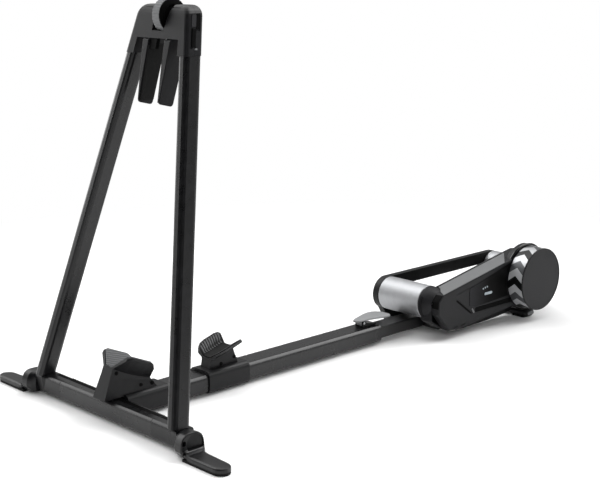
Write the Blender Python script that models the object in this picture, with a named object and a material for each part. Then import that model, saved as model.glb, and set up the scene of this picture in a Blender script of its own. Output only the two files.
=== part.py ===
"""Wheel-on smart trainer: a folding A-frame that grips the front wheel, a telescopic
beam, and a roller unit with a flywheel under the rear wheel. Metres, +Z up.

The stand frame below has X = 0 at the crossbar, +X towards the rear of the bicycle,
+Y to the rider's right and Z = 0 on the floor. One empty shifts it all, so that the
part's origin is the middle of its footprint. Each moving group hangs under an empty
that stands on its joint."""
import math

import bmesh
import bpy
from mathutils import Vector

# Clearances
GAP = 0.0003
RUNNING_GAP = 0.0006
BORE_GAP = 0.0001
PAST = 0.01

# Crossbar and beam, both steel tubes
TUBE_BOTTOM = 0.0068
BAR_HEIGHT = 0.040
CROSSBAR_DEPTH = 0.038
CROSSBAR_HALF_LENGTH = 0.155
CROSSBAR_CORNER = 0.008
CROSSBAR_WALL = 0.002
GROOVE_WIDTH = 0.003
GROOVE_DEPTH = 0.0025
BEAM_WIDTH = 0.058
BEAM_CORNER = 0.009
BEAM_WALL = 0.0025
BEAM_END_X = 0.771

# Fold pivot at the crossbar's ends
KNUCKLE_END = 0.238
KNUCKLE_SWELL_START = 0.208
KNUCKLE_SWELL_END = 0.216
KNUCKLE_BROW = 0.0080
PIVOT_AXLE_RADIUS = 0.010
PIVOT_PLUG_LENGTH = 0.030
PIVOT_AXLE_REACH = 0.012
BUTTON_RECESS_DEPTH = 0.0108
BUTTON_THICKNESS = 0.0050
BUTTON_SET_BACK = 0.0012

# Foot castings
FOOT_CENTRE_X = -0.0105
FOOT_HALF_DEPTH = 0.0295
BOSS_LENGTH = 0.032
BOSS_TOP = 0.0500
TOE_END = 0.379
TOE_TOP = 0.0150
TOE_CENTRE_X = -0.0155
TOE_HALF_DEPTH = 0.0215
TOE_TIP_RADIUS = 0.020
TOE_TAPER = 0.0030
SOLE_THICKNESS = 0.0050
BUTTON_CENTRE_X = -0.0055
BUTTON_HALF_WIDTH = 0.0205
BUTTON_RISE = 0.0045
RIM_WALL = 0.0038
BOSS_TUCK = 0.0090
TUCK_TOP = 0.0190
CORE_SLOT = (-0.0350, -0.0272, 0.0285, 0.0375)
CORE_HOLE = (-0.0358, -0.0292, 0.0113, 0.0175)
CORE_DEPTH = 0.0070
CORE_CORNER = 0.0012
BOSS_SECTIONS = ((0.0, 0.0, 0.0075, 0.0042, 3.6, 0.2), (0.156, 0.5, 0.0037, 0.0027, 3.2, 0.5),
                 (0.4375, 1.0, 0.0010, 0.0010, 3.0, 1.0), (0.875, 1.0, 0.0, 0.0, 3.0, 1.0),
                 (0.97, 1.0, 0.0, 0.0010, 3.2, 1.0), (1.0, 1.0, 0.0010, 0.0030, 3.4, 1.0))
TOE_SECTIONS = ((0.0010, 1.0, 0.0067, 0.0170, 3.4, 0.95), (0.0035, 1.0, 0.0058, 0.0075, 3.6, 0.8),
                (0.0085, 1.5, 0.0040, 0.0032, 4.0, 0.5), (0.0165, 2.0, 0.0004, 0.0008, 4.8, 0.15))
BOSS_START_X = -0.003
TOE_POWER = 5.5
TOE_BLEND_LENGTH = 0.030
TOE_DROP = 0.0015
TOE_STEPS = 6
SOLE_INSET = 0.0008

# Legs: centre line through (0, LEG_ROOT_Y, LEG_ROOT_Z), leaning back and inwards
LEG_ROOT_Y = 0.2176
LEG_ROOT_Z = 0.080
LEG_LEAN_BACK = 0.2354
LEG_LEAN_IN = 0.2079
LEG_WIDTH = 0.027
LEG_DEPTH = 0.040
LEG_CORNER = 0.009
LEG_WALL = 0.002
LEG_TENON = 0.052

# Clamp head
HEAD_BOTTOM_Z = 0.723
HEAD_HEIGHT = 0.096
HEAD_SLEEVE = 0.031
HEAD_HALF_DEPTH = 0.0210
HEAD_SIDE_WALL = 0.0035
HEAD_CORNER = 0.008
HEAD_SHOULDER = 0.021
CAVITY_HALF_DEPTH = 0.0185
CAVITY_HALF_WIDTH = 0.055
HEAD_CROWN = 0.005
HEAD_CUT_IN = 0.015
RECESS_DEPTH = 0.0020
RECESS_HALF_DEPTH = 0.0125
RECESS_LOW = 0.014
RECESS_SPLIT = 0.0465
RECESS_HIGH = 0.080
LATCH_GROOVE = 0.007
WHEEL_DROP = 0.0215
WHEEL_RADIUS = 0.0352
WHEEL_HALF_WIDTH = 0.0120
WHEEL_SLOT_GAP = 0.0020
WHEEL_SLOT_DROP = 0.029
WHEEL_SLOT_RIGHT = 0.0205
WHEEL_SLOT_FLARE = ((0.0350, 0.0250), (0.0493, 0.0330), (0.0665, 0.0420))
SPINDLE_RADIUS = 0.005
SPINDLE_SEAT = 0.006
KNURL_COUNT = 36

# Clamp paddles
PAD_GAP_TOP = 0.0215
PAD_GAP_TIP = 0.0275
PAD_THICKNESS = 0.0030
PADDLE_LENGTH = 0.1283
PADDLE_OUTER_TOP = 0.0440
PADDLE_OUTER_TIP = 0.0345
PADDLE_HALF_DEPTH_TOP = 0.0225
PADDLE_HALF_DEPTH_TIP = 0.0180
CARRIER_OUTER = 0.0440
CARRIER_GAP = 0.0020
CARRIER_HALF_DEPTH = 0.0178

# Wheel cradles, shaped to a 622 mm rim with a road tyre
TYRE_RADIUS = 0.336
CRADLE_HALF_TROUGH = 0.0120
CRADLE_WING_OUT = 0.0450
CRADLE_LIP = 0.0045
TREAD_THICKNESS = 0.0018
TREAD_GAP = 0.0006
FRONT_CRADLE = {"base": (-0.0295, 0.104), "seat": ((-0.004, 0.113), (0.086, 0.0745)),
                "tip": ((0.017, 0.137), (0.079, 0.110)), "half": (0.0200, 0.0145),
                "wing": ((0.0, 0.84), (0.04, 0.93), (0.11, 1.0), (0.30, 1.0), (0.50, 1.0), (0.70, 1.0),
                         (0.88, 1.0), (0.95, 0.92), (1.0, 0.74)),
                "holes": ((0.0040, 0.1005), (0.0620, 0.0630), (0.0905, 0.0612))}
REAR_CRADLE = {"base": (0.326, 0.244), "seat": ((0.310, 0.092), (0.249, 0.0745)),
               "tip": ((0.321, 0.112), (0.254, 0.0918)), "half": (0.0140, 0.0142),
               "wing": ((0.0, 0.60), (0.05, 0.82), (0.11, 0.95), (0.20, 1.0), (0.44, 1.0), (0.62, 1.0),
                        (0.80, 0.94), (0.92, 0.76), (1.0, 0.50)),
               "holes": ((0.278, 0.0585), (0.3155, 0.0670))}
CRADLE_HOLE_RADIUS = 0.0026
COLLAR_TOP_WALL = 0.0060
COLLAR_SIDE_WALL = 0.0030
COLLAR_BOTTOM_WALL = 0.0016
FRONT_COLLAR_END_X = 0.125
REAR_COLLAR_START_X = 0.231
REAR_COLLAR_END_X = 0.344

# Beam lock
BUSH_WALL = 0.0025
BUSH_LENGTH = 0.060
LEVER_START_X = 0.708
LEVER_TIP_X = 0.816
LEVER_PIVOT_X = 0.728
LEVER_PIVOT_Z = 0.0575
LEVER_PLATE_Z = 0.0610
LEVER_RISE = 0.0050
LEVER_HALF_WIDTH = 0.028
LEVER_THICKNESS = 0.0040
LEVER_HUB_RADIUS = 0.0078
LEVER_HUB_HALF = 0.0075
LEVER_PIN_RADIUS = 0.0030
LEVER_WIDTHS = ((0.0, 0.20), (0.04, 0.34), (0.12, 0.46), (0.30, 0.62), (0.50, 0.84), (0.66, 0.98),
                (0.80, 1.0), (0.90, 0.90), (0.97, 0.66), (1.0, 0.40))
BRACKET_HALF_WIDTH = 0.0125
BRACKET_RADIUS = 0.0052
BRACKET_END_X = 0.768
LOCK_PIN_RADIUS = 0.0040

# Rollers
FRONT_ROLLER_X = 0.900
REAR_ROLLER_X = 1.318
ROLLER_Z = 0.088
ROLLER_RADIUS = 0.041
ROLLER_WALL = 0.004
ROLLER_HALF_LENGTH = 0.0640
ROLLER_WEB = 0.010
AXLE_RADIUS = 0.006
BEARING_RADIUS = 0.014
BEARING_WIDTH = 0.009
SHAFT_SET_BACK = 0.006

# Roller unit frame
SIDE_FACE_Y = 0.0653
ARM_THICKNESS = 0.0172
ARM_END_RADIUS = 0.041
ARM_BAR_BOTTOM_Z = 0.100
ARM_LEG_FRONT_X = 0.905
ARM_LEG_REAR_X = 0.985
ARM_LEG_TIE = (0.024, 0.031, 0.012)
ARM_FOOT_INSET = 0.002
INNER_BEAM_START_X = 0.500
CROSSMEMBER_WALL = 0.003
CROSSMEMBER_CORNER = 0.004
CROSSMEMBER_START_X = 0.935
CROSSMEMBER_END_X = 0.985
CHASSIS_BOTTOM_Z = 0.0105
REAR_FOOT_FRONT_X = 1.205
REAR_FOOT_REAR_X = 1.250
REAR_FOOT_HALF_LENGTH = 0.134
REAR_FOOT_TOP_Z = 0.0195
REAR_FOOT_END = ((0.0, 0.55, 0.60), (0.004, 0.80, 0.78), (0.014, 1.0, 1.0))
REAR_FOOT_CORNER = 0.005
REAR_SOLE_START = 0.045
REAR_SOLE_END = 0.008

# Drive housing, on the rider's left
HOUSING_SPLIT_Y = 0.0980
HOUSING_OUTER_Y = 0.1200
HOUSING_WALL = 0.0030
NOSE_TOP_RADIUS = 0.026
NOSE_TOP_X = 0.898
NOSE_TOP_Z = 0.0915
LOBE_RADIUS = 0.0655
GUARD_RADIUS = 0.0845
GUARD_OUTER_Y = 0.1180
SHELL_CORNERS = ((0.884, 0.055, 0.012), (0.9165, 0.0315, 0.0085), (1.014, 0.0345, 0.0085))
COVER_CORNER = 0.0045
COVER_CORNERS = ((0.8785, 0.0995), (0.8915, 0.1122), (0.8785, 0.0707), (0.9160, 0.0266), (0.9555, 0.0246))
COVER_SEAM = ((0.9408, 0.1089), (1.1095, 0.1375), 0.0012)
COVER_SLOT = ((0.9414, 0.0937), (0.9974, 0.0525), 0.0055)
COVER_BAND = (1.013, 1.160, 0.0505, 0.0635)
COVER_CUT_DEPTH = 0.0012
COVER_ROUND = 0.0030
NOSE_DOME = ((0.0410, 0.0653), (0.0410, 0.0693), (0.0400, 0.0735), (0.0375, 0.0815), (0.0345, 0.0885),
             (0.0315, 0.0945), (0.0295, 0.0980))
NOSE_VENT = (0.0840, 0.1080)
NOSE_VENT_REACH = 0.018
NOSE_POCKET = (0.0180, 0.0275, 112.0, 182.0)
NOSE_POCKET_DEPTH = 0.010
PANEL_OUTLINE = ((1.030, 0.0665), (1.136, 0.0665), (1.136, 0.1395), (1.030, 0.1215))
PANEL_THICKNESS = 0.0008
TRIM_THICKNESS = 0.0012
TRIM_PLAN = ((-0.0024, 0.1190), (0.2385, 0.1190), (0.2940, 0.0750), (0.0313, 0.0750), (0.0262, 0.0850),
             (0.0105, 0.0990))
LENS_X = 1.062
LENS_Z = 0.092
LENS_HALF_LENGTH = 0.015
LENS_HALF_HEIGHT = 0.0032
LENS_THICKNESS = 0.0010
BOARD_CENTRE = (1.020, 0.083)
BOARD_HALF_LENGTH = 0.060
BOARD_HALF_HEIGHT = 0.020
BOARD_THICKNESS = 0.0016
INLET_RADIUS = 0.0055
INLET_BORE = 0.0040
INLET_DEPTH = 0.008
INLET_Y = -0.0902

# Flywheel and belt
FLYWHEEL_X = 1.223
FLYWHEEL_Z = 0.107
FLYWHEEL_RADIUS = 0.080
FLYWHEEL_INNER_Y = 0.1205
FLYWHEEL_OUTER_Y = 0.1620
FLYWHEEL_FACE = 0.0030
COIL_INNER_RADIUS = 0.034
COIL_OUTER_RADIUS = 0.058
COIL_DEPTH = 0.020
COIL_CLEARANCE = 0.004
ROLLER_PULLEY_RADIUS = 0.030
FLYWHEEL_PULLEY_RADIUS = 0.0125
BELT_WIDTH = 0.010
BELT_THICKNESS = 0.0020
BELT_Y = 0.0720
BELT_SIDE = 0.0015

PIVOT_Z = TUBE_BOTTOM + BAR_HEIGHT / 2
BEAM_TOP_Z = TUBE_BOTTOM + BAR_HEIGHT
BEAM_START_X = CROSSBAR_DEPTH / 2 + GAP
LEG_TOP_Z = HEAD_BOTTOM_Z + LEG_TENON
HEAD_TOP_Z = HEAD_BOTTOM_Z + HEAD_HEIGHT
HEAD_MOUTH_Z = HEAD_BOTTOM_Z + HEAD_SLEEVE
CAVITY_TOP_Z = HEAD_TOP_Z - HEAD_CROWN
WHEEL_Z = HEAD_TOP_Z - WHEEL_DROP
CARRIER_TOP_Z = CAVITY_TOP_Z - CARRIER_GAP
PADDLE_SHOULDER_Z = HEAD_MOUTH_Z - RUNNING_GAP
PADDLE_TIP_Z = PADDLE_SHOULDER_Z - PADDLE_LENGTH
MIDDLE_X = (FOOT_CENTRE_X - FOOT_HALF_DEPTH + REAR_ROLLER_X + ARM_END_RADIUS) / 2


def clear_scene():
    """Remove every object that the file opened with."""
    for old in list(bpy.data.objects):
        bpy.data.objects.remove(old, do_unlink=True)


def material(name, colour, roughness, metallic=0.0):
    """A Principled material with a linear colour."""
    made = bpy.data.materials.new(name)
    made.use_nodes = True
    shader = made.node_tree.nodes["Principled BSDF"]
    shader.inputs["Base Color"].default_value = (*colour, 1.0)
    shader.inputs["Roughness"].default_value = roughness
    shader.inputs["Metallic"].default_value = metallic
    made.diffuse_color = (*colour, 1.0)
    return made


def pivot(name, position, parent=None):
    """An empty on a joint, at a position in the stand frame."""
    empty = bpy.data.objects.new(name, None)
    bpy.context.collection.objects.link(empty)
    empty["stand"] = position
    if parent is None:
        empty.location = Vector(position) - Vector((MIDDLE_X, 0.0, 0.0))
    else:
        empty.parent = parent
        empty.location = Vector(position) - Vector(parent["stand"])
    return empty


def make_object(name, bm, finish, body, sharp_angle=32.0):
    """Turn a bmesh in stand coordinates into an object whose origin is its body's pivot."""
    bmesh.ops.remove_doubles(bm, verts=bm.verts, dist=1e-7)
    bmesh.ops.recalc_face_normals(bm, faces=bm.faces)
    bmesh.ops.translate(bm, verts=bm.verts, vec=-Vector(body["stand"]))
    mesh = bpy.data.meshes.new(name)
    bm.to_mesh(mesh)
    bm.free()
    mesh.shade_smooth()
    mesh.set_sharp_from_angle(angle=math.radians(sharp_angle))
    made = bpy.data.objects.new(name, mesh)
    bpy.context.collection.objects.link(made)
    made.parent = body
    if finish is not None:
        mesh.materials.append(finish)
    return made


def boolean(target, name, bm, operation="DIFFERENCE"):
    """Cut or join a closed shape, given in stand coordinates, into a target."""
    tool = make_object(name, bm, None, target.parent)
    tool.hide_render = True
    tool.display_type = "WIRE"
    step = target.modifiers.new(name, "BOOLEAN")
    step.operation = operation
    step.solver = "EXACT"
    step.object = tool
    return target


def skin(rings, closed=False):
    """Join rings of equally many points with quads, and close the ends with caps.

    With closed the last ring joins the first one, as on a tube with walls."""
    bm = bmesh.new()
    rows = []
    for ring in rings:
        rows.append([bm.verts.new(point) for point in ring])
    count = len(rows[0])
    pairs = list(zip(rows[:-1], rows[1:]))
    if closed:
        pairs.append((rows[-1], rows[0]))
    for first, second in pairs:
        for i in range(count):
            j = (i + 1) % count
            bm.faces.new((first[i], first[j], second[j], second[i]))
    if not closed:
        bm.faces.new(rows[0])
        bm.faces.new(list(reversed(rows[-1])))
    return bm


def turned(profile, x, z, steps=40, closed=False, sign=1.0):
    """Revolve (radius, y) points about the Y axis through (x, z).

    An open profile starts and ends on the axis, or at a flat end that gets a cap."""
    rings = []
    for radius, y in profile:
        ring = []
        for i in range(steps):
            angle = 2 * math.pi * i / steps
            ring.append((x + radius * math.cos(angle), sign * y, z + radius * math.sin(angle)))
        rings.append(ring)
    return skin(rings, closed)


def rounded_rect(half_u, half_v, radius, steps=4, centre=(0.0, 0.0)):
    """Corner arcs of a rectangle, anticlockwise, as (u, v) points."""
    points = []
    corners = ((1, 1, 0), (-1, 1, 90), (-1, -1, 180), (1, -1, 270))
    for sign_u, sign_v, start in corners:
        for i in range(steps + 1):
            angle = math.radians(start + 90 * i / steps)
            u = sign_u * (half_u - radius) + radius * math.cos(angle)
            v = sign_v * (half_v - radius) + radius * math.sin(angle)
            points.append((centre[0] + u, centre[1] + v))
    return points


def prism(outline, axis, low, high):
    """Sweep an outline of (u, v) points along an axis: X takes (y, z), Y (x, z), Z (x, y)."""
    def place(u, v, w):
        return {"X": (w, u, v), "Y": (u, w, v), "Z": (u, v, w)}[axis]
    return skin([[place(u, v, w) for u, v in outline] for w in (low, high)])


def tube(outer, inner, axis, low, high):
    """A straight tube with walls between two outlines of equally many points."""
    def place(u, v, w):
        return {"X": (w, u, v), "Y": (u, w, v), "Z": (u, v, w)}[axis]
    rings = [[place(u, v, low) for u, v in outer], [place(u, v, high) for u, v in outer],
             [place(u, v, high) for u, v in inner], [place(u, v, low) for u, v in inner]]
    return skin(rings, closed=True)


def circle(x, z, radius, steps=32):
    """Points round a circle, anticlockwise."""
    turn = 2 * math.pi / steps
    return [(x + radius * math.cos(i * turn), z + radius * math.sin(i * turn)) for i in range(steps)]


def hull_of_circles(circles, inset=0.0, steps=48):
    """The taut band round (x, z, radius) circles, by the monotone chain on their points."""
    points = []
    for x, z, radius in circles:
        points.extend(circle(x, z, radius - inset, steps))
    points.sort()

    def half(ordered):
        chain = []
        for point in ordered:
            while len(chain) > 1:
                (ax, az), (bx, bz) = chain[-2], chain[-1]
                turn = (bx - ax) * (point[1] - az) - (bz - az) * (point[0] - ax)
                if turn > 1e-12:
                    break
                chain.pop()
            chain.append(point)
        return chain[:-1]

    return half(points) + half(list(reversed(points)))


def leg_x(z):
    """The legs' centre line: distance behind the crossbar at a height."""
    return LEG_LEAN_BACK * (z - LEG_ROOT_Z)


def leg_y(z):
    """The legs' centre line: distance from the middle at a height."""
    return LEG_ROOT_Y - LEG_LEAN_IN * (z - LEG_ROOT_Z)


def leaning(half_depth, half_width, radius, z, y=0.0, shift=0.0, steps=3):
    """A level section at height z, centred on the plane in which the legs lean back."""
    outline = rounded_rect(half_depth, half_width, radius, steps)
    return [(leg_x(z) + shift + u, y + v, z) for u, v in outline]


clear_scene()

COAT = material("charcoal_powder_coat", (0.030, 0.030, 0.032), 0.42)
CAST_COAT = material("coated_aluminium", (0.030, 0.030, 0.032), 0.45)
DARK_COAT = material("black_powder_coat", (0.014, 0.014, 0.015), 0.40)
DARK_CAST = material("black_coated_aluminium", (0.014, 0.014, 0.015), 0.42)
MOULDED = material("charcoal_moulded_plastic", (0.035, 0.035, 0.037), 0.55)
BLACK_PLASTIC = material("black_plastic", (0.010, 0.010, 0.011), 0.45)
GREY_PLASTIC = material("grey_plastic", (0.28, 0.28, 0.28), 0.45)
LIGHT_GREY = material("light_grey_plastic", (0.36, 0.36, 0.36), 0.40)
RUBBER = material("black_rubber", (0.012, 0.012, 0.012), 0.80)
ALUMINIUM = material("satin_aluminium", (0.80, 0.80, 0.81), 0.30, 1.0)
STEEL = material("bright_steel", (0.56, 0.57, 0.58), 0.30, 1.0)
COPPER = material("copper_winding", (0.55, 0.25, 0.12), 0.40, 1.0)
BOARD_GREEN = material("circuit_board", (0.02, 0.12, 0.05), 0.50)
LENS = material("clear_lens", (0.55, 0.60, 0.62), 0.15)

STAND = pivot("stand", (0.0, 0.0, 0.0))
A_FRAME = pivot("a_frame", (0.0, 0.0, PIVOT_Z), STAND)
THUMB = pivot("thumb", (leg_x(WHEEL_Z), 0.0, WHEEL_Z), A_FRAME)
CRADLE = pivot("cradle_slide", (REAR_COLLAR_START_X, 0.0, PIVOT_Z), STAND)
LEVER = pivot("lever", (LEVER_PIVOT_X, 0.0, LEVER_PIVOT_Z), STAND)
REAR = pivot("rear_unit", (INNER_BEAM_START_X, 0.0, PIVOT_Z), STAND)
FRONT_SPIN = pivot("front_roller_spin", (FRONT_ROLLER_X, 0.0, ROLLER_Z), REAR)
REAR_SPIN = pivot("rear_roller_spin", (REAR_ROLLER_X, 0.0, ROLLER_Z), REAR)
WHEEL_SPIN = pivot("flywheel_spin", (FLYWHEEL_X, 0.0, FLYWHEEL_Z), REAR)


def crossbar_section(inset=0.0):
    """The crossbar's rounded section in (x, z)."""
    radius = max(CROSSBAR_CORNER - inset, 0.001)
    return rounded_rect(CROSSBAR_DEPTH / 2 - inset, BAR_HEIGHT / 2 - inset, radius, 4, (0.0, PIVOT_Z))


def build_crossbar():
    """Rectangular tube with a groove along the back of its top face."""
    half = CROSSBAR_HALF_LENGTH
    section = tube(crossbar_section(), crossbar_section(CROSSBAR_WALL + GROOVE_DEPTH), "Y", -half, half)
    bar = make_object("front_crossbar", section, COAT, STAND)
    groove_x = CROSSBAR_DEPTH / 2 - CROSSBAR_CORNER
    groove = rounded_rect(GROOVE_WIDTH / 2, GROOVE_DEPTH, GROOVE_DEPTH * 0.4, 2, (groove_x, BEAM_TOP_Z))
    boolean(bar, "crossbar_groove", prism(groove, "Y", -half - PAST, half + PAST))


def build_pivot_axle(side, sign):
    """Turned axle: a plug inside the crossbar's end, then the journal that carries the leg."""
    plug_radius = CROSSBAR_DEPTH / 2 - CROSSBAR_WALL - GROOVE_DEPTH - GAP
    plug_end = CROSSBAR_HALF_LENGTH - GAP
    tip = KNUCKLE_END + GAP + PIVOT_AXLE_REACH
    journal = PIVOT_AXLE_RADIUS
    profile = [(plug_radius, plug_end - PIVOT_PLUG_LENGTH), (plug_radius, plug_end), (journal, plug_end),
               (journal, tip - 0.001), (journal - 0.001, tip)]
    make_object("pivot_axle_" + side, turned(profile, 0.0, PIVOT_Z, 32, sign=sign), STEEL, STAND)


def build_knuckle(side, sign):
    """The leg's lower end: flush with the crossbar, with a brow under the leg's front edge."""
    half = CROSSBAR_DEPTH / 2
    outer = []
    for y, brow in ((CROSSBAR_HALF_LENGTH + GAP, 0.0), (KNUCKLE_SWELL_START, 0.0),
                    (KNUCKLE_SWELL_END, KNUCKLE_BROW), (KNUCKLE_END, KNUCKLE_BROW)):
        ring = []
        for x, z in rounded_rect(half, BAR_HEIGHT / 2, CROSSBAR_CORNER, 6, (0.0, PIVOT_Z)):
            rise = (z - TUBE_BOTTOM) / BAR_HEIGHT
            forward = max(-x / half, 0.0)
            ring.append((x - brow * forward * rise ** 3, sign * y, z))
        outer.append(ring)
    knuckle = make_object("leg_knuckle_" + side, skin(outer), CAST_COAT, A_FRAME)
    hole = PIVOT_AXLE_RADIUS + BORE_GAP
    ends = [(hole, CROSSBAR_HALF_LENGTH - PAST), (hole, KNUCKLE_END + PAST)]
    bore = turned(ends, 0.0, PIVOT_Z, 32, sign=sign)
    boolean(knuckle, "knuckle_bore_" + side, bore)


def foot_section(y, centre, half, top, power, tuck=0.0):
    """An arch over a flat base: a superellipse whose corners sharpen as power grows.

    The tuck draws its front edge in towards the base."""
    base = SOLE_THICKNESS + GAP
    ring = []
    steps = 24
    for i in range(steps + 1):
        angle = math.pi * i / steps
        across = math.copysign(abs(math.cos(angle)) ** (2 / power), math.cos(angle))
        z = base + (top - base) * abs(math.sin(angle)) ** (2 / power)
        drawn = tuck * max((TUCK_TOP - z) / (TUCK_TOP - base), 0.0) ** 1.5 if across > 0 else 0.0
        ring.append((centre - half * across + drawn, y, z))
    return ring


def toe_share(y):
    """0 at the toe's root and 1 at its tip."""
    root = KNUCKLE_END + BOSS_LENGTH
    return max((y - root) / (TOE_END - root), 0.0)


def toe_centre(y):
    """The toe's middle line: its front edge stays straight and its back edge tapers forwards."""
    return TOE_CENTRE_X - TOE_TAPER * toe_share(y)


def foot_half_width(y):
    """Half the toe's width in plan, with a round tip."""
    start = TOE_END - TOE_TIP_RADIUS
    toe = TOE_HALF_DEPTH - TOE_TAPER * toe_share(y)
    if y <= start:
        return toe
    return toe * math.sqrt(max(1 - ((y - start) / TOE_TIP_RADIUS) ** 2, 0.0))


def toe_tip_stations():
    """Stations along the toe's round tip, closer together towards its end."""
    spread = math.pi / 2 / (TOE_STEPS + 0.4)
    return [TOE_END - TOE_TIP_RADIUS * (1 - math.sin(spread * i)) for i in range(TOE_STEPS + 1)]


def build_foot(side, sign):
    """End casting: a round boss that holds the pivot axle, and a low toe with a round tip.

    A row of the boss gives a section's share of the boss's length, the place of its middle from the
    crossbar (0) over the boss (1) to the toe (2), what its half depth and top lack, its corner power
    and its share of the tuck. A toe's row has its distance past the boss and what it adds to the toe."""
    start = KNUCKLE_END + GAP
    boss_end = start + BOSS_LENGTH
    middles = (BOSS_START_X, FOOT_CENTRE_X, TOE_CENTRE_X)
    rings = []
    sections = [(start + BOSS_LENGTH * share, place, FOOT_HALF_DEPTH - less, BOSS_TOP - drop, power, part)
                for share, place, less, drop, power, part in BOSS_SECTIONS]
    sections += [(boss_end + along, place, TOE_HALF_DEPTH + more, TOE_TOP + rise, power, part)
                 for along, place, more, rise, power, part in TOE_SECTIONS]
    for y, place, half, top, power, part in sections:
        first = min(int(place), 1)
        middle = middles[first] + (middles[first + 1] - middles[first]) * (place - first)
        rings.append(foot_section(sign * y, middle, half, top, power, BOSS_TUCK * part))
    tip_start = TOE_END - TOE_TIP_RADIUS
    for y in [boss_end + TOE_BLEND_LENGTH] + toe_tip_stations():
        drop = TOE_DROP * max((y - tip_start) / TOE_TIP_RADIUS, 0.0) ** 2
        rings.append(foot_section(sign * y, toe_centre(y), foot_half_width(y), TOE_TOP - drop, TOE_POWER))
    foot = make_object("foot_casting_" + side, skin(rings), CAST_COAT, STAND)
    socket = PIVOT_AXLE_RADIUS + BORE_GAP
    depth = start + PIVOT_AXLE_REACH + GAP
    bore = turned([(socket, start - PAST), (socket, depth)], 0.0, PIVOT_Z, 32, sign=sign)
    boolean(foot, "axle_socket_" + side, bore)
    recess = button_outline(GAP)
    floor = boss_end - BUTTON_RECESS_DEPTH
    past = boss_end + PAST
    boolean(foot, "button_recess_" + side, prism(recess, "Y", *ordered(sign * floor, sign * past)))
    for tag, (x0, x1, z0, z1) in (("slot", CORE_SLOT), ("hole", CORE_HOLE)):
        outline = rounded_rect((x1 - x0) / 2, (z1 - z0) / 2, CORE_CORNER, 2, ((x0 + x1) / 2, (z0 + z1) / 2))
        boolean(foot, "core_" + tag + "_" + side,
                prism(outline, "Y", *ordered(sign * (boss_end - CORE_DEPTH), sign * past)))


def ordered(a, b):
    """Two values, the lower first."""
    return (a, b) if a < b else (b, a)


def button_outline(grow=0.0):
    """The arched fold button in (x, z): flat below, half round above."""
    half = BUTTON_HALF_WIDTH + grow
    low = TOE_TOP + BUTTON_RISE - grow
    centre = BOSS_TOP - RIM_WALL - BUTTON_HALF_WIDTH
    points = [(BUTTON_CENTRE_X - half, low), (BUTTON_CENTRE_X + half, low)]
    steps = 20
    for i in range(steps + 1):
        angle = math.pi * i / steps
        points.append((BUTTON_CENTRE_X + half * math.cos(angle), centre + half * math.sin(angle)))
    return points


def build_fold_button(side, sign, body):
    """Push button in the boss's end face that frees the fold; it travels inwards."""
    outer = KNUCKLE_END + GAP + BOSS_LENGTH - BUTTON_SET_BACK
    inner = outer - BUTTON_THICKNESS
    button = prism(button_outline(-GAP), "Y", *ordered(sign * inner, sign * outer))
    make_object("fold_button_" + side, button, BLACK_PLASTIC, body)


def build_sole(side, sign):
    """Rubber sole under the casting, with the toe's own plan."""
    start = KNUCKLE_END + GAP + BOSS_LENGTH
    stations = [start] + toe_tip_stations()
    front = [(toe_centre(y) - foot_half_width(y) + SOLE_INSET, sign * y) for y in stations]
    back = [(toe_centre(y) + foot_half_width(y) - SOLE_INSET, sign * y) for y in reversed(stations)]
    make_object("foot_sole_" + side, prism(front + back, "Z", 0.0, SOLE_THICKNESS), RUBBER, STAND)


def build_leg(side, sign):
    """Rectangular tube that leans back and inwards, cut level at both ends."""
    low = BEAM_TOP_Z + GAP
    shoulder = HEAD_BOTTOM_Z - GAP
    neck = HEAD_SIDE_WALL
    rings = []
    for inset, z in ((0.0, low), (0.0, shoulder), (neck, shoulder), (neck, LEG_TOP_Z),
                     (neck + LEG_WALL, LEG_TOP_Z), (neck + LEG_WALL, shoulder - LEG_WALL),
                     (LEG_WALL, shoulder - LEG_WALL), (LEG_WALL, low)):
        rings.append(leaning(LEG_DEPTH / 2 - inset, LEG_WIDTH / 2 - inset, max(LEG_CORNER - inset, 0.0015), z,
                             sign * leg_y(z)))
    make_object("leg_" + side, skin(rings, closed=True), COAT, A_FRAME)


def head_half_width(z):
    """The head is flush with the legs' outer faces."""
    return leg_y(z) + LEG_WIDTH / 2


def head_half(name, front):
    """One moulded half of the head, on one side of the plane in which the legs lean."""
    inner = -GAP / 2 if front else GAP / 2
    outer = -HEAD_HALF_DEPTH if front else HEAD_HALF_DEPTH
    rings = []
    stations = [(HEAD_BOTTOM_Z, 0.0)]
    for i in range(7):
        turn = math.radians(90 * i / 6)
        stations.append((HEAD_TOP_Z - HEAD_SHOULDER * (1 - math.sin(turn)), 1 - math.cos(turn)))
    for z, inset in stations:
        half = head_half_width(z) - inset * HEAD_SHOULDER
        depth = outer + inset * HEAD_CORNER if front else outer - inset * HEAD_CORNER
        corner = HEAD_CORNER
        ring = [(leg_x(z) + inner, half, z), (leg_x(z) + inner, -half, z)]
        turn = -1 if front else 1
        for start in (0, 90):
            for i in range(5):
                angle = math.radians(start + 90 * i / 4)
                across = -(half - corner) if start == 0 else half - corner
                y = across - corner * math.cos(angle)
                x = depth - turn * corner + turn * corner * math.sin(angle)
                ring.append((leg_x(z) + x, y, z))
        rings.append(ring)
    return make_object(name, skin(rings), MOULDED, A_FRAME)


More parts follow.
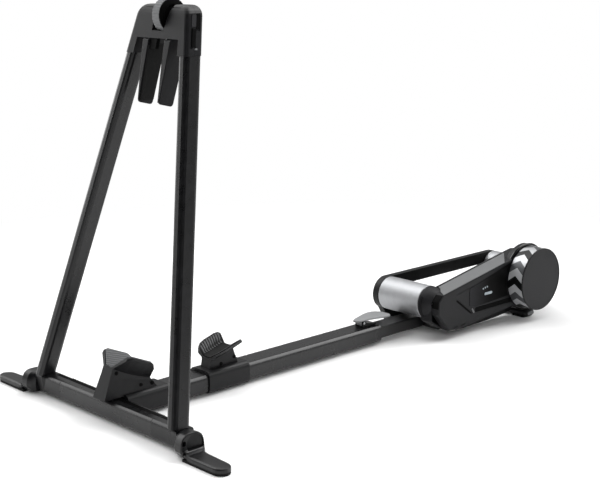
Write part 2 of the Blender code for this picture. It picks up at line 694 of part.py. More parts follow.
def cut_head(shell, tag, front):
    """Leg sockets, the clamp's cavity, the thumb wheel's slot and well, spindle seats and side recesses.

    At the front the slot is wider on the right and opens out on the left, for a thumb on the wheel's side."""
    for side, sign in (("left", -1.0), ("right", 1.0)):
        rings = []
        for z in (HEAD_BOTTOM_Z - PAST, LEG_TOP_Z + GAP):
            rings.append(leaning(LEG_DEPTH / 2 - HEAD_SIDE_WALL + GAP, LEG_WIDTH / 2 - HEAD_SIDE_WALL + GAP,
                                 LEG_CORNER - HEAD_SIDE_WALL, z, sign * leg_y(z)))
        boolean(shell, "socket_" + side + tag, skin(rings))
    reach = HEAD_HALF_DEPTH + PAST + (HEAD_TOP_Z - HEAD_BOTTOM_Z) * LEG_LEAN_BACK
    rings = []
    for z in (HEAD_MOUTH_Z - PAST, CAVITY_TOP_Z):
        rings.append(leaning(CAVITY_HALF_DEPTH, CAVITY_HALF_WIDTH, 0.002, z))
    boolean(shell, "cavity" + tag, skin(rings))
    mouth = [(leg_y(HEAD_BOTTOM_Z) - LEG_WIDTH / 2 + 0.001, HEAD_BOTTOM_Z - PAST),
             (leg_y(HEAD_MOUTH_Z) - LEG_WIDTH / 2 + 0.001, HEAD_MOUTH_Z)]
    outline = [mouth[0], mouth[1], (-mouth[1][0], mouth[1][1]), (-mouth[0][0], mouth[0][1])]
    boolean(shell, "mouth" + tag, prism(outline, "X", leg_x(HEAD_TOP_Z) - reach, leg_x(HEAD_TOP_Z) + reach))
    half = WHEEL_HALF_WIDTH + WHEEL_SLOT_GAP
    slot_low = WHEEL_Z - WHEEL_SLOT_DROP
    right = WHEEL_SLOT_RIGHT if front else half
    flare = WHEEL_SLOT_FLARE if front else ((HEAD_TOP_Z + PAST - slot_low, half),)
    left = [(-half, slot_low)] + [(-wide, slot_low + rise) for rise, wide in flare]
    slot = [(right, slot_low), (right, left[-1][1])] + left[::-1]
    near = leg_x(WHEEL_Z) - (reach if front else HEAD_CUT_IN)
    far = leg_x(WHEEL_Z) + (HEAD_CUT_IN if front else reach)
    boolean(shell, "wheel_slot" + tag, prism(slot, "X", near, far))
    well = WHEEL_RADIUS + RUNNING_GAP
    boolean(shell, "wheel_well" + tag, turned([(well, -half), (well, half)], leg_x(WHEEL_Z), WHEEL_Z, 64))
    seat = SPINDLE_RADIUS + BORE_GAP
    end = CAVITY_HALF_WIDTH + SPINDLE_SEAT + GAP
    boolean(shell, "spindle_seat" + tag, turned([(seat, -end), (seat, end)], leg_x(WHEEL_Z), WHEEL_Z, 24))
    for side, sign in (("left", -1.0), ("right", 1.0)):
        for name, low, high, back in (("window", RECESS_SPLIT, RECESS_HIGH, RECESS_HALF_DEPTH),
                                      ("groove", RECESS_LOW, RECESS_SPLIT + GAP,
                                       LATCH_GROOVE - RECESS_HALF_DEPTH)):
            middle = (back - RECESS_HALF_DEPTH) / 2
            half_depth = (back + RECESS_HALF_DEPTH) / 2
            rings = []
            for z in (HEAD_BOTTOM_Z + low, HEAD_BOTTOM_Z + high):
                outside = head_half_width(z) - RECESS_DEPTH + CAVITY_HALF_DEPTH
                rings.append(leaning(half_depth, CAVITY_HALF_DEPTH, 0.0015, z, sign * outside, middle))
            boolean(shell, "side_" + name + "_" + side + tag, skin(rings))


def build_head():
    """Two moulded halves that close round the legs' tops and the clamp."""
    front = head_half("head_front", True)
    cut_head(front, "_front", True)
    rear = head_half("head_rear", False)
    cut_head(rear, "_rear", False)


def build_thumb_wheel():
    """Ribbed wheel on a spindle with a right-hand and a left-hand thread."""
    x, z = leg_x(WHEEL_Z), WHEEL_Z
    bore = SPINDLE_RADIUS + BORE_GAP
    steps = KNURL_COUNT * 2
    rings = []
    half = WHEEL_HALF_WIDTH
    rim = ((WHEEL_RADIUS - 0.002, -half), (WHEEL_RADIUS, -half + 0.002), (WHEEL_RADIUS, half - 0.002),
           (WHEEL_RADIUS - 0.002, half), (WHEEL_RADIUS * 0.62, half), (WHEEL_RADIUS * 0.55, half - 0.002),
           (bore + 0.006, half - 0.002), (bore + 0.005, half), (bore, half), (bore, -half),
           (bore + 0.005, -half), (bore + 0.006, -half + 0.002), (WHEEL_RADIUS * 0.55, -half + 0.002),
           (WHEEL_RADIUS * 0.62, -half))
    for radius, y in rim:
        ring = []
        for i in range(steps):
            angle = 2 * math.pi * i / steps
            dip = 0.0008 if i % 2 and radius > WHEEL_RADIUS - 0.0025 else 0.0
            ring.append((x + (radius - dip) * math.cos(angle), y, z + (radius - dip) * math.sin(angle)))
        rings.append(ring)
    make_object("thumb_wheel", skin(rings, closed=True), GREY_PLASTIC, THUMB)
    reach = CAVITY_HALF_WIDTH + SPINDLE_SEAT
    profile = [(SPINDLE_RADIUS - 0.0008, -reach), (SPINDLE_RADIUS, -reach + 0.0008),
               (SPINDLE_RADIUS, reach - 0.0008), (SPINDLE_RADIUS - 0.0008, reach)]
    make_object("clamp_spindle", turned(profile, x, z, 24), STEEL, THUMB)


def paddle_share(z):
    """0 at a paddle's tip and 1 at its shoulder."""
    return (z - PADDLE_TIP_Z) / (PADDLE_SHOULDER_Z - PADDLE_TIP_Z)


def paddle_outer(z):
    """Outer face of a paddle's blade, closing in towards the tip."""
    return PADDLE_OUTER_TIP + (PADDLE_OUTER_TOP - PADDLE_OUTER_TIP) * paddle_share(z)


def pad_face(z):
    """The pad's gripping face: the gap widens towards the tip, to guide the tyre in."""
    return PAD_GAP_TIP + (PAD_GAP_TOP - PAD_GAP_TIP) * paddle_share(z)


def paddle_half_depth(z):
    """Half the blade's depth, tapering to the tip."""
    return PADDLE_HALF_DEPTH_TIP + (PADDLE_HALF_DEPTH_TOP - PADDLE_HALF_DEPTH_TIP) * paddle_share(z)


def build_paddle(side, sign, body):
    """Moulded blade that hangs below the head, with its threaded carrier on the spindle."""
    backing = PAD_THICKNESS + GAP
    tip = PADDLE_TIP_Z
    shoulder = PADDLE_SHOULDER_Z
    top_inner = pad_face(shoulder) + backing
    stations = [
        (tip, pad_face(tip) + backing, paddle_outer(tip), paddle_half_depth(tip) - 0.0055, 1.0),
        (tip + 0.0015, pad_face(tip) + backing, paddle_outer(tip), paddle_half_depth(tip) - 0.0020, 1.0),
        (tip + 0.0055, pad_face(tip) + backing, paddle_outer(tip), paddle_half_depth(tip), 1.0),
        (shoulder - 0.0025, top_inner, PADDLE_OUTER_TOP, paddle_half_depth(shoulder), 0.0),
        (shoulder, top_inner, CARRIER_OUTER, CARRIER_HALF_DEPTH, 0.0),
        (CARRIER_TOP_Z, top_inner, CARRIER_OUTER, CARRIER_HALF_DEPTH, 0.0),
    ]
    rings = []
    for z, inner, outer, half_depth, square in stations:
        ring = leaning(half_depth, (outer - inner) / 2, 0.0014, z, sign * (inner + outer) / 2)
        rings.append([(x, y, height - square * LEG_LEAN_BACK * (x - leg_x(z))) for x, y, height in ring])
    paddle = make_object("clamp_paddle_" + side, skin(rings), MOULDED, body)
    bore = SPINDLE_RADIUS + BORE_GAP
    boolean(paddle, "carrier_bore_" + side,
            turned([(bore, PAD_GAP_TOP - PAST), (bore, CARRIER_OUTER + PAST)], leg_x(WHEEL_Z), WHEEL_Z, 24,
                   sign=sign))


def build_paddle_pad(side, sign, body):
    """Soft pad on the blade's inner face."""
    rings = []
    for z in (PADDLE_TIP_Z + 0.0065, PADDLE_SHOULDER_Z - 0.014):
        half = paddle_half_depth(z) - 0.0015
        middle = pad_face(z) + PAD_THICKNESS / 2 - 0.0004
        rings.append(leaning(half, PAD_THICKNESS / 2 - 0.0001, 0.0010, z, sign * middle))
    make_object("paddle_pad_" + side, skin(rings), RUBBER, body)


def between(first, second, share):
    """A point part of the way between two points or numbers."""
    if isinstance(first, tuple):
        return tuple(a + (b - a) * share for a, b in zip(first, second))
    return first + (second - first) * share


def cradle_section(ends, share, height, base_z):
    """Half a cradle's section as (x, y, z), from the base up the side and wing, then down to the trough.

    Share runs along the trough, and height is the part of its full reach that the wing has there."""
    base_x = between(ends["base"][0], ends["base"][1], share)
    seat_x, seat_z = between(ends["seat"][0], ends["seat"][1], share)
    tip_x, tip_z = between(ends["tip"][0], ends["tip"][1], share)
    chord = math.hypot(ends["seat"][1][0] - ends["seat"][0][0], ends["seat"][1][1] - ends["seat"][0][1])
    seat_z -= chord ** 2 / (8 * TYRE_RADIUS) * 4 * share * (1 - share)

    def x_at(z):
        if z < seat_z:
            return between(base_x, seat_x, (z - base_z) / (seat_z - base_z))
        return between(seat_x, tip_x, (z - seat_z) / (tip_z - seat_z))

    base_half, seat_half = ends["half"]
    out = between(seat_half, CRADLE_WING_OUT, height)
    top = between(seat_z, tip_z, height)
    half = [(base_half, base_z), (between(base_half, seat_half, 0.75), between(base_z, seat_z, 0.75)),
            (seat_half + 0.0015, seat_z - 0.0010), (out, top - CRADLE_LIP * 0.8),
            (out + 0.0005, top), (out - CRADLE_LIP * 0.8, top + CRADLE_LIP * 0.2),
            (CRADLE_HALF_TROUGH + CRADLE_LIP, seat_z + CRADLE_LIP), (CRADLE_HALF_TROUGH, seat_z + 0.0010),
            (CRADLE_HALF_TROUGH * 0.5, seat_z)]
    return [(x_at(z), y, z) for y, z in half]


def build_cradle(prefix, ends, collar, gap, body):
    """Moulded cradle in one piece with its collar round the beam, and the tread in its trough.

    The trough follows the tyre and its wings flare outwards."""
    base_z = BEAM_TOP_Z + gap + COLLAR_TOP_WALL / 2
    halves = [cradle_section(ends, share, height, base_z) for share, height in ends["wing"]]
    rings = [half + [(x, -y, z) for x, y, z in reversed(half)] for half in halves]
    cradle = make_object(prefix + "_cradle", skin(rings), MOULDED, body)
    boolean(cradle, prefix + "_collar", collar_tube(*collar, gap), "UNION")
    for i, (x, z) in enumerate(ends["holes"]):
        hole = [(CRADLE_HOLE_RADIUS, -CRADLE_WING_OUT), (CRADLE_HOLE_RADIUS, CRADLE_WING_OUT)]
        boolean(cradle, prefix + "_hole_" + str(i), turned(hole, x, z, 16))
    linings = [half[5:] for half in halves]
    first = [between(a, b, 0.5) for a, b in zip(linings[0], linings[1])]
    last = [between(a, b, 0.5) for a, b in zip(linings[-1], linings[-2])]
    rings = []
    for lining in [first] + linings[1:-1] + [last]:
        low = []
        high = []
        for i, (x, y, z) in enumerate(lining):
            slant = 0.7 if i < 2 else 0.25 if i == 2 else 0.0
            rise = math.sqrt(1 - slant ** 2)
            low.append((x, y - slant * TREAD_GAP, z + rise * TREAD_GAP))
            over = TREAD_GAP + TREAD_THICKNESS
            high.append((x, y - slant * over, z + rise * over))
        section = low + [(x, -y, z) for x, y, z in reversed(low)] + [(x, -y, z) for x, y, z in high]
        section += list(reversed(high))
        rings.append(section)
    make_object(prefix + "_cradle_tread", skin(rings), RUBBER, body)


def beam_section(inset=0.0):
    """The beam's rounded section in (y, z)."""
    return rounded_rect(BEAM_WIDTH / 2 - inset, BAR_HEIGHT / 2 - inset, max(BEAM_CORNER - inset, 0.001), 4,
                        (0.0, PIVOT_Z))


def collar_tube(start, end, gap):
    """Collar round the beam, thicker on top."""
    half_width = BEAM_WIDTH / 2 + gap + COLLAR_SIDE_WALL
    low = TUBE_BOTTOM - gap - COLLAR_BOTTOM_WALL
    high = BEAM_TOP_Z + gap + COLLAR_TOP_WALL
    outer = rounded_rect(half_width, (high - low) / 2, BEAM_CORNER + 0.003, 4, (0.0, (high + low) / 2))
    return tube(outer, beam_section(-gap), "X", start, end)


def build_beam():
    """Outer tube of the telescopic beam, welded to the crossbar's back."""
    section = tube(beam_section(), beam_section(BEAM_WALL), "X", BEAM_START_X, BEAM_END_X)
    beam = make_object("main_beam", section, COAT, STAND)
    hole = LOCK_PIN_RADIUS + BORE_GAP
    boolean(beam, "lock_pin_hole", upright(hole, LEVER_PIVOT_X, PIVOT_Z, BEAM_TOP_Z + PAST))


def upright(radius, x, low, high, steps=20):
    """A round bar that stands on the middle plane."""
    return prism(circle(x, 0.0, radius, steps), "Z", low, high)


def build_beam_lock():
    """Guide bush in the beam's mouth, and the lever's bracket on top of the beam."""
    inner = BEAM_WALL + GAP
    outer_section = beam_section(inner)
    bore_section = beam_section(BEAM_WALL + BUSH_WALL)
    sleeve = tube(outer_section, bore_section, "X", BEAM_END_X - BUSH_LENGTH, BEAM_END_X)
    bush = make_object("beam_end_bush", sleeve, BLACK_PLASTIC, STAND)
    low = BEAM_TOP_Z + GAP
    half = BRACKET_HALF_WIDTH
    outline = []
    radius = BRACKET_RADIUS
    for i in range(13):
        angle = math.radians(180 - 180 * i / 12)
        outline.append((LEVER_PIVOT_X + radius * math.cos(angle), LEVER_PIVOT_Z + radius * math.sin(angle)))
    outline += [(BRACKET_END_X, low + 0.004), (BRACKET_END_X, low), (LEVER_PIVOT_X - radius, low)]
    bracket = make_object("lever_bracket", prism(outline, "Y", -half, half), BLACK_PLASTIC, STAND)
    hub = LEVER_HUB_HALF + RUNNING_GAP
    slot_half = LEVER_HUB_RADIUS + RUNNING_GAP
    slot = rounded_rect(slot_half + 0.004, slot_half, 0.002, 2, (LEVER_PIVOT_X, LEVER_PIVOT_Z))
    boolean(bracket, "hub_slot", prism(slot, "Y", -hub, hub))
    pin_hole = LEVER_PIN_RADIUS + BORE_GAP
    boolean(bracket, "pin_hole", turned([(pin_hole, -half - PAST), (pin_hole, half + PAST)],
                                        LEVER_PIVOT_X, LEVER_PIVOT_Z, 20))
    make_object("lever_pin", turned([(LEVER_PIN_RADIUS, -half), (LEVER_PIN_RADIUS, half)],
                                    LEVER_PIVOT_X, LEVER_PIVOT_Z, 20), STEEL, STAND)
    clear = LOCK_PIN_RADIUS + BORE_GAP
    boolean(bracket, "lock_pin_bore", upright(clear, LEVER_PIVOT_X, PIVOT_Z, LEVER_PIVOT_Z))
    boolean(bush, "lock_pin_window", upright(clear, LEVER_PIVOT_X, PIVOT_Z, LEVER_PIVOT_Z))
    make_object("beam_lock_pin", upright(LOCK_PIN_RADIUS, LEVER_PIVOT_X,
                                         BEAM_TOP_Z - BEAM_WALL - BUSH_WALL - RUNNING_GAP + GAP,
                                         LEVER_PIVOT_Z - LEVER_HUB_RADIUS - GAP), STEEL, STAND)


def build_lever():
    """Foot lever: a leaf-shaped plate, widest near its free end, with a hub on the cross pin."""
    rings = []
    length = LEVER_TIP_X - LEVER_START_X
    thick = LEVER_THICKNESS / 2
    for share, width in LEVER_WIDTHS:
        x = LEVER_START_X + length * share
        rise = LEVER_RISE * math.sin(math.pi * (0.15 + 0.75 * share))
        half = LEVER_HALF_WIDTH * width
        section = rounded_rect(half, thick, thick * 0.8, 2, (0.0, LEVER_PLATE_Z + rise))
        rings.append([(x, y, z) for y, z in section])
    lever = make_object("foot_lever", skin(rings), LIGHT_GREY, LEVER)
    hub = turned([(LEVER_HUB_RADIUS, -LEVER_HUB_HALF), (LEVER_HUB_RADIUS, LEVER_HUB_HALF)],
                 LEVER_PIVOT_X, LEVER_PIVOT_Z, 24)
    boolean(lever, "lever_hub", hub, "UNION")
    hole = LEVER_PIN_RADIUS + BORE_GAP
    boolean(lever, "lever_bore", turned([(hole, -0.04), (hole, 0.04)], LEVER_PIVOT_X, LEVER_PIVOT_Z, 20))


def build_chassis():
    """Inner beam, cross member, spine and rear foot of the roller unit."""
    inner_gap = BEAM_WALL + BUSH_WALL + RUNNING_GAP
    make_object("inner_beam", tube(beam_section(inner_gap), beam_section(inner_gap + BEAM_WALL), "X",
                                   INNER_BEAM_START_X, CROSSMEMBER_START_X - GAP), DARK_COAT, REAR)
    side = SIDE_FACE_Y - GAP
    top = BEAM_TOP_Z - inner_gap
    wall = CROSSMEMBER_WALL
    half_x, half_z = (CROSSMEMBER_END_X - CROSSMEMBER_START_X) / 2, (top - CHASSIS_BOTTOM_Z) / 2
    centre = ((CROSSMEMBER_END_X + CROSSMEMBER_START_X) / 2, (top + CHASSIS_BOTTOM_Z) / 2)
    box = rounded_rect(half_x, half_z, CROSSMEMBER_CORNER, 3, centre)
    hollow = rounded_rect(half_x - wall, half_z - wall, CROSSMEMBER_CORNER - wall, 3, centre)
    make_object("chassis_crossmember", tube(box, hollow, "Y", -side, side), DARK_COAT, REAR)
    make_object("chassis_spine", tube(beam_section(inner_gap), beam_section(inner_gap + BEAM_WALL), "X",
                                      CROSSMEMBER_END_X + GAP, REAR_FOOT_FRONT_X - GAP), DARK_COAT, REAR)
    middle = (REAR_FOOT_FRONT_X + REAR_FOOT_REAR_X) / 2
    half = (REAR_FOOT_REAR_X - REAR_FOOT_FRONT_X) / 2
    rings = []
    reach = REAR_FOOT_HALF_LENGTH
    base = SOLE_THICKNESS + GAP
    stations = [(inset - reach, width, height) for inset, width, height in REAR_FOOT_END]
    stations += [(-y, width, height) for y, width, height in reversed(stations)]
    for y, width, height in stations:
        z_top = base + (REAR_FOOT_TOP_Z - base) * height
        centre = (middle, (z_top + base) / 2)
        section = rounded_rect(half * width, (z_top - base) / 2, REAR_FOOT_CORNER, 3, centre)
        rings.append([(x, y, z) for x, z in section])
    make_object("rear_foot", skin(rings), BLACK_PLASTIC, REAR)
    for name, sign in (("left", -1.0), ("right", 1.0)):
        low, high = ordered(sign * (reach - REAR_SOLE_START), sign * (reach - REAR_SOLE_END))
        centre = (middle, (low + high) / 2)
        pad = rounded_rect(half - REAR_FOOT_CORNER / 2, (high - low) / 2, REAR_FOOT_CORNER, 3, centre)
        make_object("rear_foot_sole_" + name, prism(pad, "Z", 0.0, SOLE_THICKNESS), RUBBER, REAR)


def build_far_arm():
    """Bar on the rider's right that carries both rollers' far ends."""
    near, far = SIDE_FACE_Y, SIDE_FACE_Y + ARM_THICKNESS
    top = ROLLER_Z + ARM_END_RADIUS
    bar = [(FRONT_ROLLER_X, ARM_BAR_BOTTOM_Z), (REAR_ROLLER_X, ARM_BAR_BOTTOM_Z), (REAR_ROLLER_X, top),
           (FRONT_ROLLER_X, top)]
    arm = make_object("far_arm", prism(bar, "Y", near, far), DARK_CAST, REAR)
    for tag, x in (("front", FRONT_ROLLER_X), ("rear", REAR_ROLLER_X)):
        end = prism(circle(x, ROLLER_Z, ARM_END_RADIUS, 48), "Y", near, far)
        boolean(arm, "arm_" + tag + "_end", end, "UNION")
    shallow, low, high = ARM_LEG_TIE
    leg = [(FRONT_ROLLER_X - shallow, ROLLER_Z - low), (ARM_LEG_FRONT_X, CHASSIS_BOTTOM_Z),
           (ARM_LEG_REAR_X, CHASSIS_BOTTOM_Z), (ARM_LEG_REAR_X, BEAM_TOP_Z),
           (ARM_LEG_REAR_X - shallow, ROLLER_Z + high), (FRONT_ROLLER_X, ROLLER_Z + high)]
    boolean(arm, "arm_front_leg", prism(leg, "Y", near, far), "UNION")
    rest = REAR_FOOT_TOP_Z + GAP
    rear_leg = [(REAR_FOOT_FRONT_X + ARM_FOOT_INSET, rest), (REAR_FOOT_REAR_X - ARM_FOOT_INSET, rest),
                (REAR_ROLLER_X + high, ROLLER_Z - low), (REAR_ROLLER_X, ROLLER_Z + high),
                (REAR_ROLLER_X - low, ROLLER_Z + high)]
    boolean(arm, "arm_rear_leg", prism(rear_leg, "Y", near, far), "UNION")
    for tag, x in (("front", FRONT_ROLLER_X), ("rear", REAR_ROLLER_X)):
        seat = (AXLE_RADIUS if tag == "front" else BEARING_RADIUS) + BORE_GAP
        depth = near + BEARING_WIDTH + GAP
        boolean(arm, "arm_seat_" + tag, turned([(seat, near - PAST), (seat, depth)], x, ROLLER_Z, 40))


def build_rollers():
    """Two aluminium rollers. The front one turns on a fixed axle; the rear one drives its shaft."""
    outer, inner = ROLLER_RADIUS, ROLLER_RADIUS - ROLLER_WALL
    half = ROLLER_HALF_LENGTH
    edge = 0.0010
    for tag, x, body in (("front", FRONT_ROLLER_X, FRONT_SPIN), ("rear", REAR_ROLLER_X, REAR_SPIN)):
        bore = (BEARING_RADIUS if tag == "front" else AXLE_RADIUS) + BORE_GAP
        web = half - ROLLER_WEB
        profile = [(outer - edge, -half), (outer, -half + edge), (outer, half - edge), (outer - edge, half),
                   (bore, half), (bore, web), (inner, web), (inner, -web), (bore, -web), (bore, -half)]
        make_object(tag + "_roller", turned(profile, x, ROLLER_Z, 56, closed=True), ALUMINIUM, body)
    far = SIDE_FACE_Y + BEARING_WIDTH
    make_object("front_axle", turned([(AXLE_RADIUS, -far), (AXLE_RADIUS, far)], FRONT_ROLLER_X, ROLLER_Z, 28),
                STEEL, REAR)
    shaft_end = HOUSING_SPLIT_Y - SHAFT_SET_BACK
    make_object("rear_roller_shaft", turned([(AXLE_RADIUS, -shaft_end), (AXLE_RADIUS, far)], REAR_ROLLER_X,
                                            ROLLER_Z, 28), STEEL, REAR_SPIN)
    for side, sign in (("left", -1.0), ("right", 1.0)):
        start = half - BEARING_WIDTH
        ring = [(BEARING_RADIUS, start), (BEARING_RADIUS, half), (AXLE_RADIUS + BORE_GAP, half),
                (AXLE_RADIUS + BORE_GAP, start)]
        bearing = turned(ring, FRONT_ROLLER_X, ROLLER_Z, 28, closed=True, sign=sign)
        make_object("front_bearing_" + side, bearing, STEEL, REAR)
    ring = [(BEARING_RADIUS, SIDE_FACE_Y), (BEARING_RADIUS, far), (AXLE_RADIUS + BORE_GAP, far),
            (AXLE_RADIUS + BORE_GAP, SIDE_FACE_Y)]
    make_object("rear_bearing_right", turned(ring, REAR_ROLLER_X, ROLLER_Z, 28, closed=True), STEEL, REAR)


def shell_circles():
    """Circles whose taut band is the inner shell's side view."""
    return [(NOSE_TOP_X, NOSE_TOP_Z, NOSE_TOP_RADIUS), *SHELL_CORNERS, (FLYWHEEL_X, FLYWHEEL_Z, LOBE_RADIUS),
            (REAR_ROLLER_X, ROLLER_Z, ARM_END_RADIUS)]


def cover_circles():
    """Circles whose taut band is the outer cover's side view: small corners, then the flywheel's lobe."""
    return [(x, z, COVER_CORNER) for x, z in COVER_CORNERS] + [(FLYWHEEL_X, FLYWHEEL_Z, LOBE_RADIUS)]


def moved_in(outline, distance):
    """A convex anticlockwise outline moved inwards."""
    moved = []
    for i, (x, z) in enumerate(outline):
        before, after = outline[i - 1], outline[(i + 1) % len(outline)]
        heading = math.atan2(after[1] - before[1], after[0] - before[0])
        moved.append((x - distance * math.sin(heading), z + distance * math.cos(heading)))
    return moved


def arc_point(radius, degrees):
    """A point round the front roller's axis in (x, z)."""
    angle = math.radians(degrees)
    return FRONT_ROLLER_X + radius * math.cos(angle), ROLLER_Z + radius * math.sin(angle)


def stripe(first, last, width):
    """The outline of a straight slot with round ends between two (x, z) points."""
    heading = math.atan2(last[1] - first[1], last[0] - first[0])
    points = []
    for (x, z), start in ((last, heading - math.pi / 2), (first, heading + math.pi / 2)):
        for i in range(7):
            angle = start + math.pi * i / 6
            points.append((x + width / 2 * math.cos(angle), z + width / 2 * math.sin(angle)))
    return points


def build_housing():
    """Inner shell, outer cover, light top trim and the round guard behind the flywheel."""
    near, split, outer = SIDE_FACE_Y, HOUSING_SPLIT_Y, HOUSING_OUTER_Y
    body = hull_of_circles(shell_circles())
    shell = make_object("housing_inner", prism(body, "Y", -split, -near), MOULDED, REAR)
    boolean(shell, "housing_nose", turned(NOSE_DOME, FRONT_ROLLER_X, ROLLER_Z, 64, sign=-1.0), "UNION")
    inner, rim, start, end = NOSE_POCKET
    pocket = [arc_point(rim, start + (end - start) * i / 10) for i in range(11)]
    pocket += [arc_point(inner, end + (start - end) * i / 10) for i in range(11)]
    boolean(shell, "nose_pocket", prism(pocket, "Y", -split - PAST, -split + NOSE_POCKET_DEPTH))
    cavity = hull_of_circles(shell_circles(), HOUSING_WALL)
    boolean(shell, "inner_cavity", prism(cavity, "Y", -split - PAST, -near - HOUSING_WALL - 0.001))
    for tag, x, z, radius in (("front_axle", FRONT_ROLLER_X, ROLLER_Z, AXLE_RADIUS),
                              ("rear_shaft", REAR_ROLLER_X, ROLLER_Z, AXLE_RADIUS)):
        hole = radius + BORE_GAP
        through = turned([(hole, near - PAST), (hole, split + PAST)], x, z, 28, sign=-1.0)
        boolean(shell, "hole_" + tag, through)
    back = REAR_ROLLER_X + ARM_END_RADIUS
    inlet_hole = rounded_rect(INLET_RADIUS + GAP, INLET_RADIUS + GAP, (INLET_RADIUS + GAP) * 0.99, 6,
                              (INLET_Y, ROLLER_Z))
    boolean(shell, "inlet_hole", prism(inlet_hole, "X", back - PAST, back + PAST))
    cover_outline = hull_of_circles(cover_circles())
    rings = []
    soft = COVER_ROUND * 0.3
    stations = ((split + GAP, 0.0), (outer - COVER_ROUND, 0.0), (outer - soft, soft), (outer, COVER_ROUND))
    for y, inset in stations:
        rings.append([(x, -y, z) for x, z in moved_in(cover_outline, inset)])
    cover = make_object("housing_cover", skin(rings), MOULDED, REAR)
    inner_outline = hull_of_circles(cover_circles(), HOUSING_WALL)
    boolean(cover, "cover_cavity", prism(inner_outline, "Y", -outer + HOUSING_WALL - 0.0005, -split + PAST))
    clear = GUARD_RADIUS + GAP
    round_cut = turned([(clear, split - PAST), (clear, outer + PAST)], FLYWHEEL_X, FLYWHEEL_Z, 64, sign=-1.0)
    boolean(cover, "guard_clearance", round_cut)
    face = (-outer - PAST, -outer + COVER_CUT_DEPTH)
    boolean(cover, "cover_seam", prism(stripe(*COVER_SEAM), "Y", *face))
    boolean(cover, "cover_slot", prism(stripe(*COVER_SLOT), "Y", *face))
    x0, x1, z0, z1 = COVER_BAND
    band = rounded_rect((x1 - x0) / 2, (z1 - z0) / 2, 0.003, 3, ((x0 + x1) / 2, (z0 + z1) / 2))
    boolean(cover, "cover_band", prism(band, "Y", *face))
    front = min(x for x, z in cover_outline)
    vent = [(front - PAST, NOSE_VENT[0]), (front + NOSE_VENT_REACH, NOSE_VENT[0]),
            (front + NOSE_VENT_REACH, NOSE_VENT[1]), (front - PAST, NOSE_VENT[1])]
    boolean(cover, "nose_vent", prism(vent, "Y", -outer + HOUSING_WALL, -split + PAST))
    guard_start = split + GAP
    hub = AXLE_RADIUS + BORE_GAP
    edge = GUARD_OUTER_Y
    profile = [(GUARD_RADIUS - 0.003, guard_start), (GUARD_RADIUS, guard_start + 0.003),
               (GUARD_RADIUS, edge - 0.001), (GUARD_RADIUS - 0.001, edge), (hub, edge), (hub, guard_start)]
    guard = turned(profile, FLYWHEEL_X, FLYWHEEL_Z, 64, closed=True, sign=-1.0)
    make_object("flywheel_guard", guard, BLACK_PLASTIC, REAR)


def build_flywheel():
    """Heavy rim and web, a face disc, the shaft, and the brake coil in the flywheel's back."""
    start, end = FLYWHEEL_INNER_Y, FLYWHEEL_OUTER_Y
    bore = AXLE_RADIUS + BORE_GAP
    pocket = start + COIL_DEPTH + COIL_CLEARANCE / 2
    x, z = FLYWHEEL_X, FLYWHEEL_Z
    inner, outer = COIL_INNER_RADIUS - COIL_CLEARANCE, COIL_OUTER_RADIUS + COIL_CLEARANCE
    profile = [(FLYWHEEL_RADIUS - 0.001, start), (FLYWHEEL_RADIUS, start + 0.001), (FLYWHEEL_RADIUS, end),
               (bore, end), (bore, start), (inner, start), (inner, pocket), (outer, pocket), (outer, start)]
    make_object("flywheel", turned(profile, x, z, 72, closed=True, sign=-1.0), STEEL, WHEEL_SPIN)
    face = [(FLYWHEEL_RADIUS, end + GAP), (FLYWHEEL_RADIUS, end + FLYWHEEL_FACE - 0.001),
            (FLYWHEEL_RADIUS - 0.001, end + FLYWHEEL_FACE)]
    make_object("flywheel_face", turned(face, x, z, 72, sign=-1.0), MOULDED, WHEEL_SPIN)
    shaft_start = SIDE_FACE_Y + HOUSING_WALL + 0.002
    make_object("flywheel_shaft", turned([(AXLE_RADIUS, shaft_start), (AXLE_RADIUS, end - GAP)], x, z, 28,
                                         sign=-1.0), STEEL, WHEEL_SPIN)
    coil = [(COIL_OUTER_RADIUS, GUARD_OUTER_Y + GAP), (COIL_OUTER_RADIUS, start + COIL_DEPTH),
            (COIL_INNER_RADIUS, start + COIL_DEPTH), (COIL_INNER_RADIUS, GUARD_OUTER_Y + GAP)]
    make_object("brake_coil", turned(coil, x, z, 48, closed=True, sign=-1.0), COPPER, REAR)


def belt_path(offset):
    """The belt's loop round both pulleys, offset outwards from their rims."""
    first = (FLYWHEEL_X, FLYWHEEL_Z, FLYWHEEL_PULLEY_RADIUS)
    second = (REAR_ROLLER_X, ROLLER_Z, ROLLER_PULLEY_RADIUS)
    run = math.hypot(second[0] - first[0], second[1] - first[1])
    heading = math.atan2(second[1] - first[1], second[0] - first[0])
    spread = math.acos((first[2] - second[2]) / run)
    points = []
    for (x, z, radius), start, sweep in ((second, heading - spread, 2 * spread),
                                         (first, heading + spread, 2 * (math.pi - spread))):
        for i in range(17):
            angle = start + sweep * i / 16
            points.append((x + (radius + offset) * math.cos(angle), z + (radius + offset) * math.sin(angle)))
    return points


def build_belt_drive():
    """Toothed belt from the rear roller's pulley to the flywheel's small pulley."""
    belt = tube(belt_path(GAP + BELT_THICKNESS), belt_path(GAP), "Y", -BELT_Y - BELT_WIDTH, -BELT_Y)
    make_object("drive_belt", belt, RUBBER, REAR)
    bore = AXLE_RADIUS + BORE_GAP
    low, high = BELT_Y - BELT_SIDE, BELT_Y + BELT_WIDTH + BELT_SIDE
    for name, x, z, radius, body in (
            ("roller_pulley", REAR_ROLLER_X, ROLLER_Z, ROLLER_PULLEY_RADIUS, REAR_SPIN),
            ("flywheel_pulley", FLYWHEEL_X, FLYWHEEL_Z, FLYWHEEL_PULLEY_RADIUS, WHEEL_SPIN)):
        profile = [(radius, low), (radius, high), (bore, high), (bore, low)]
        make_object(name, turned(profile, x, z, 40, closed=True, sign=-1.0), STEEL, body)


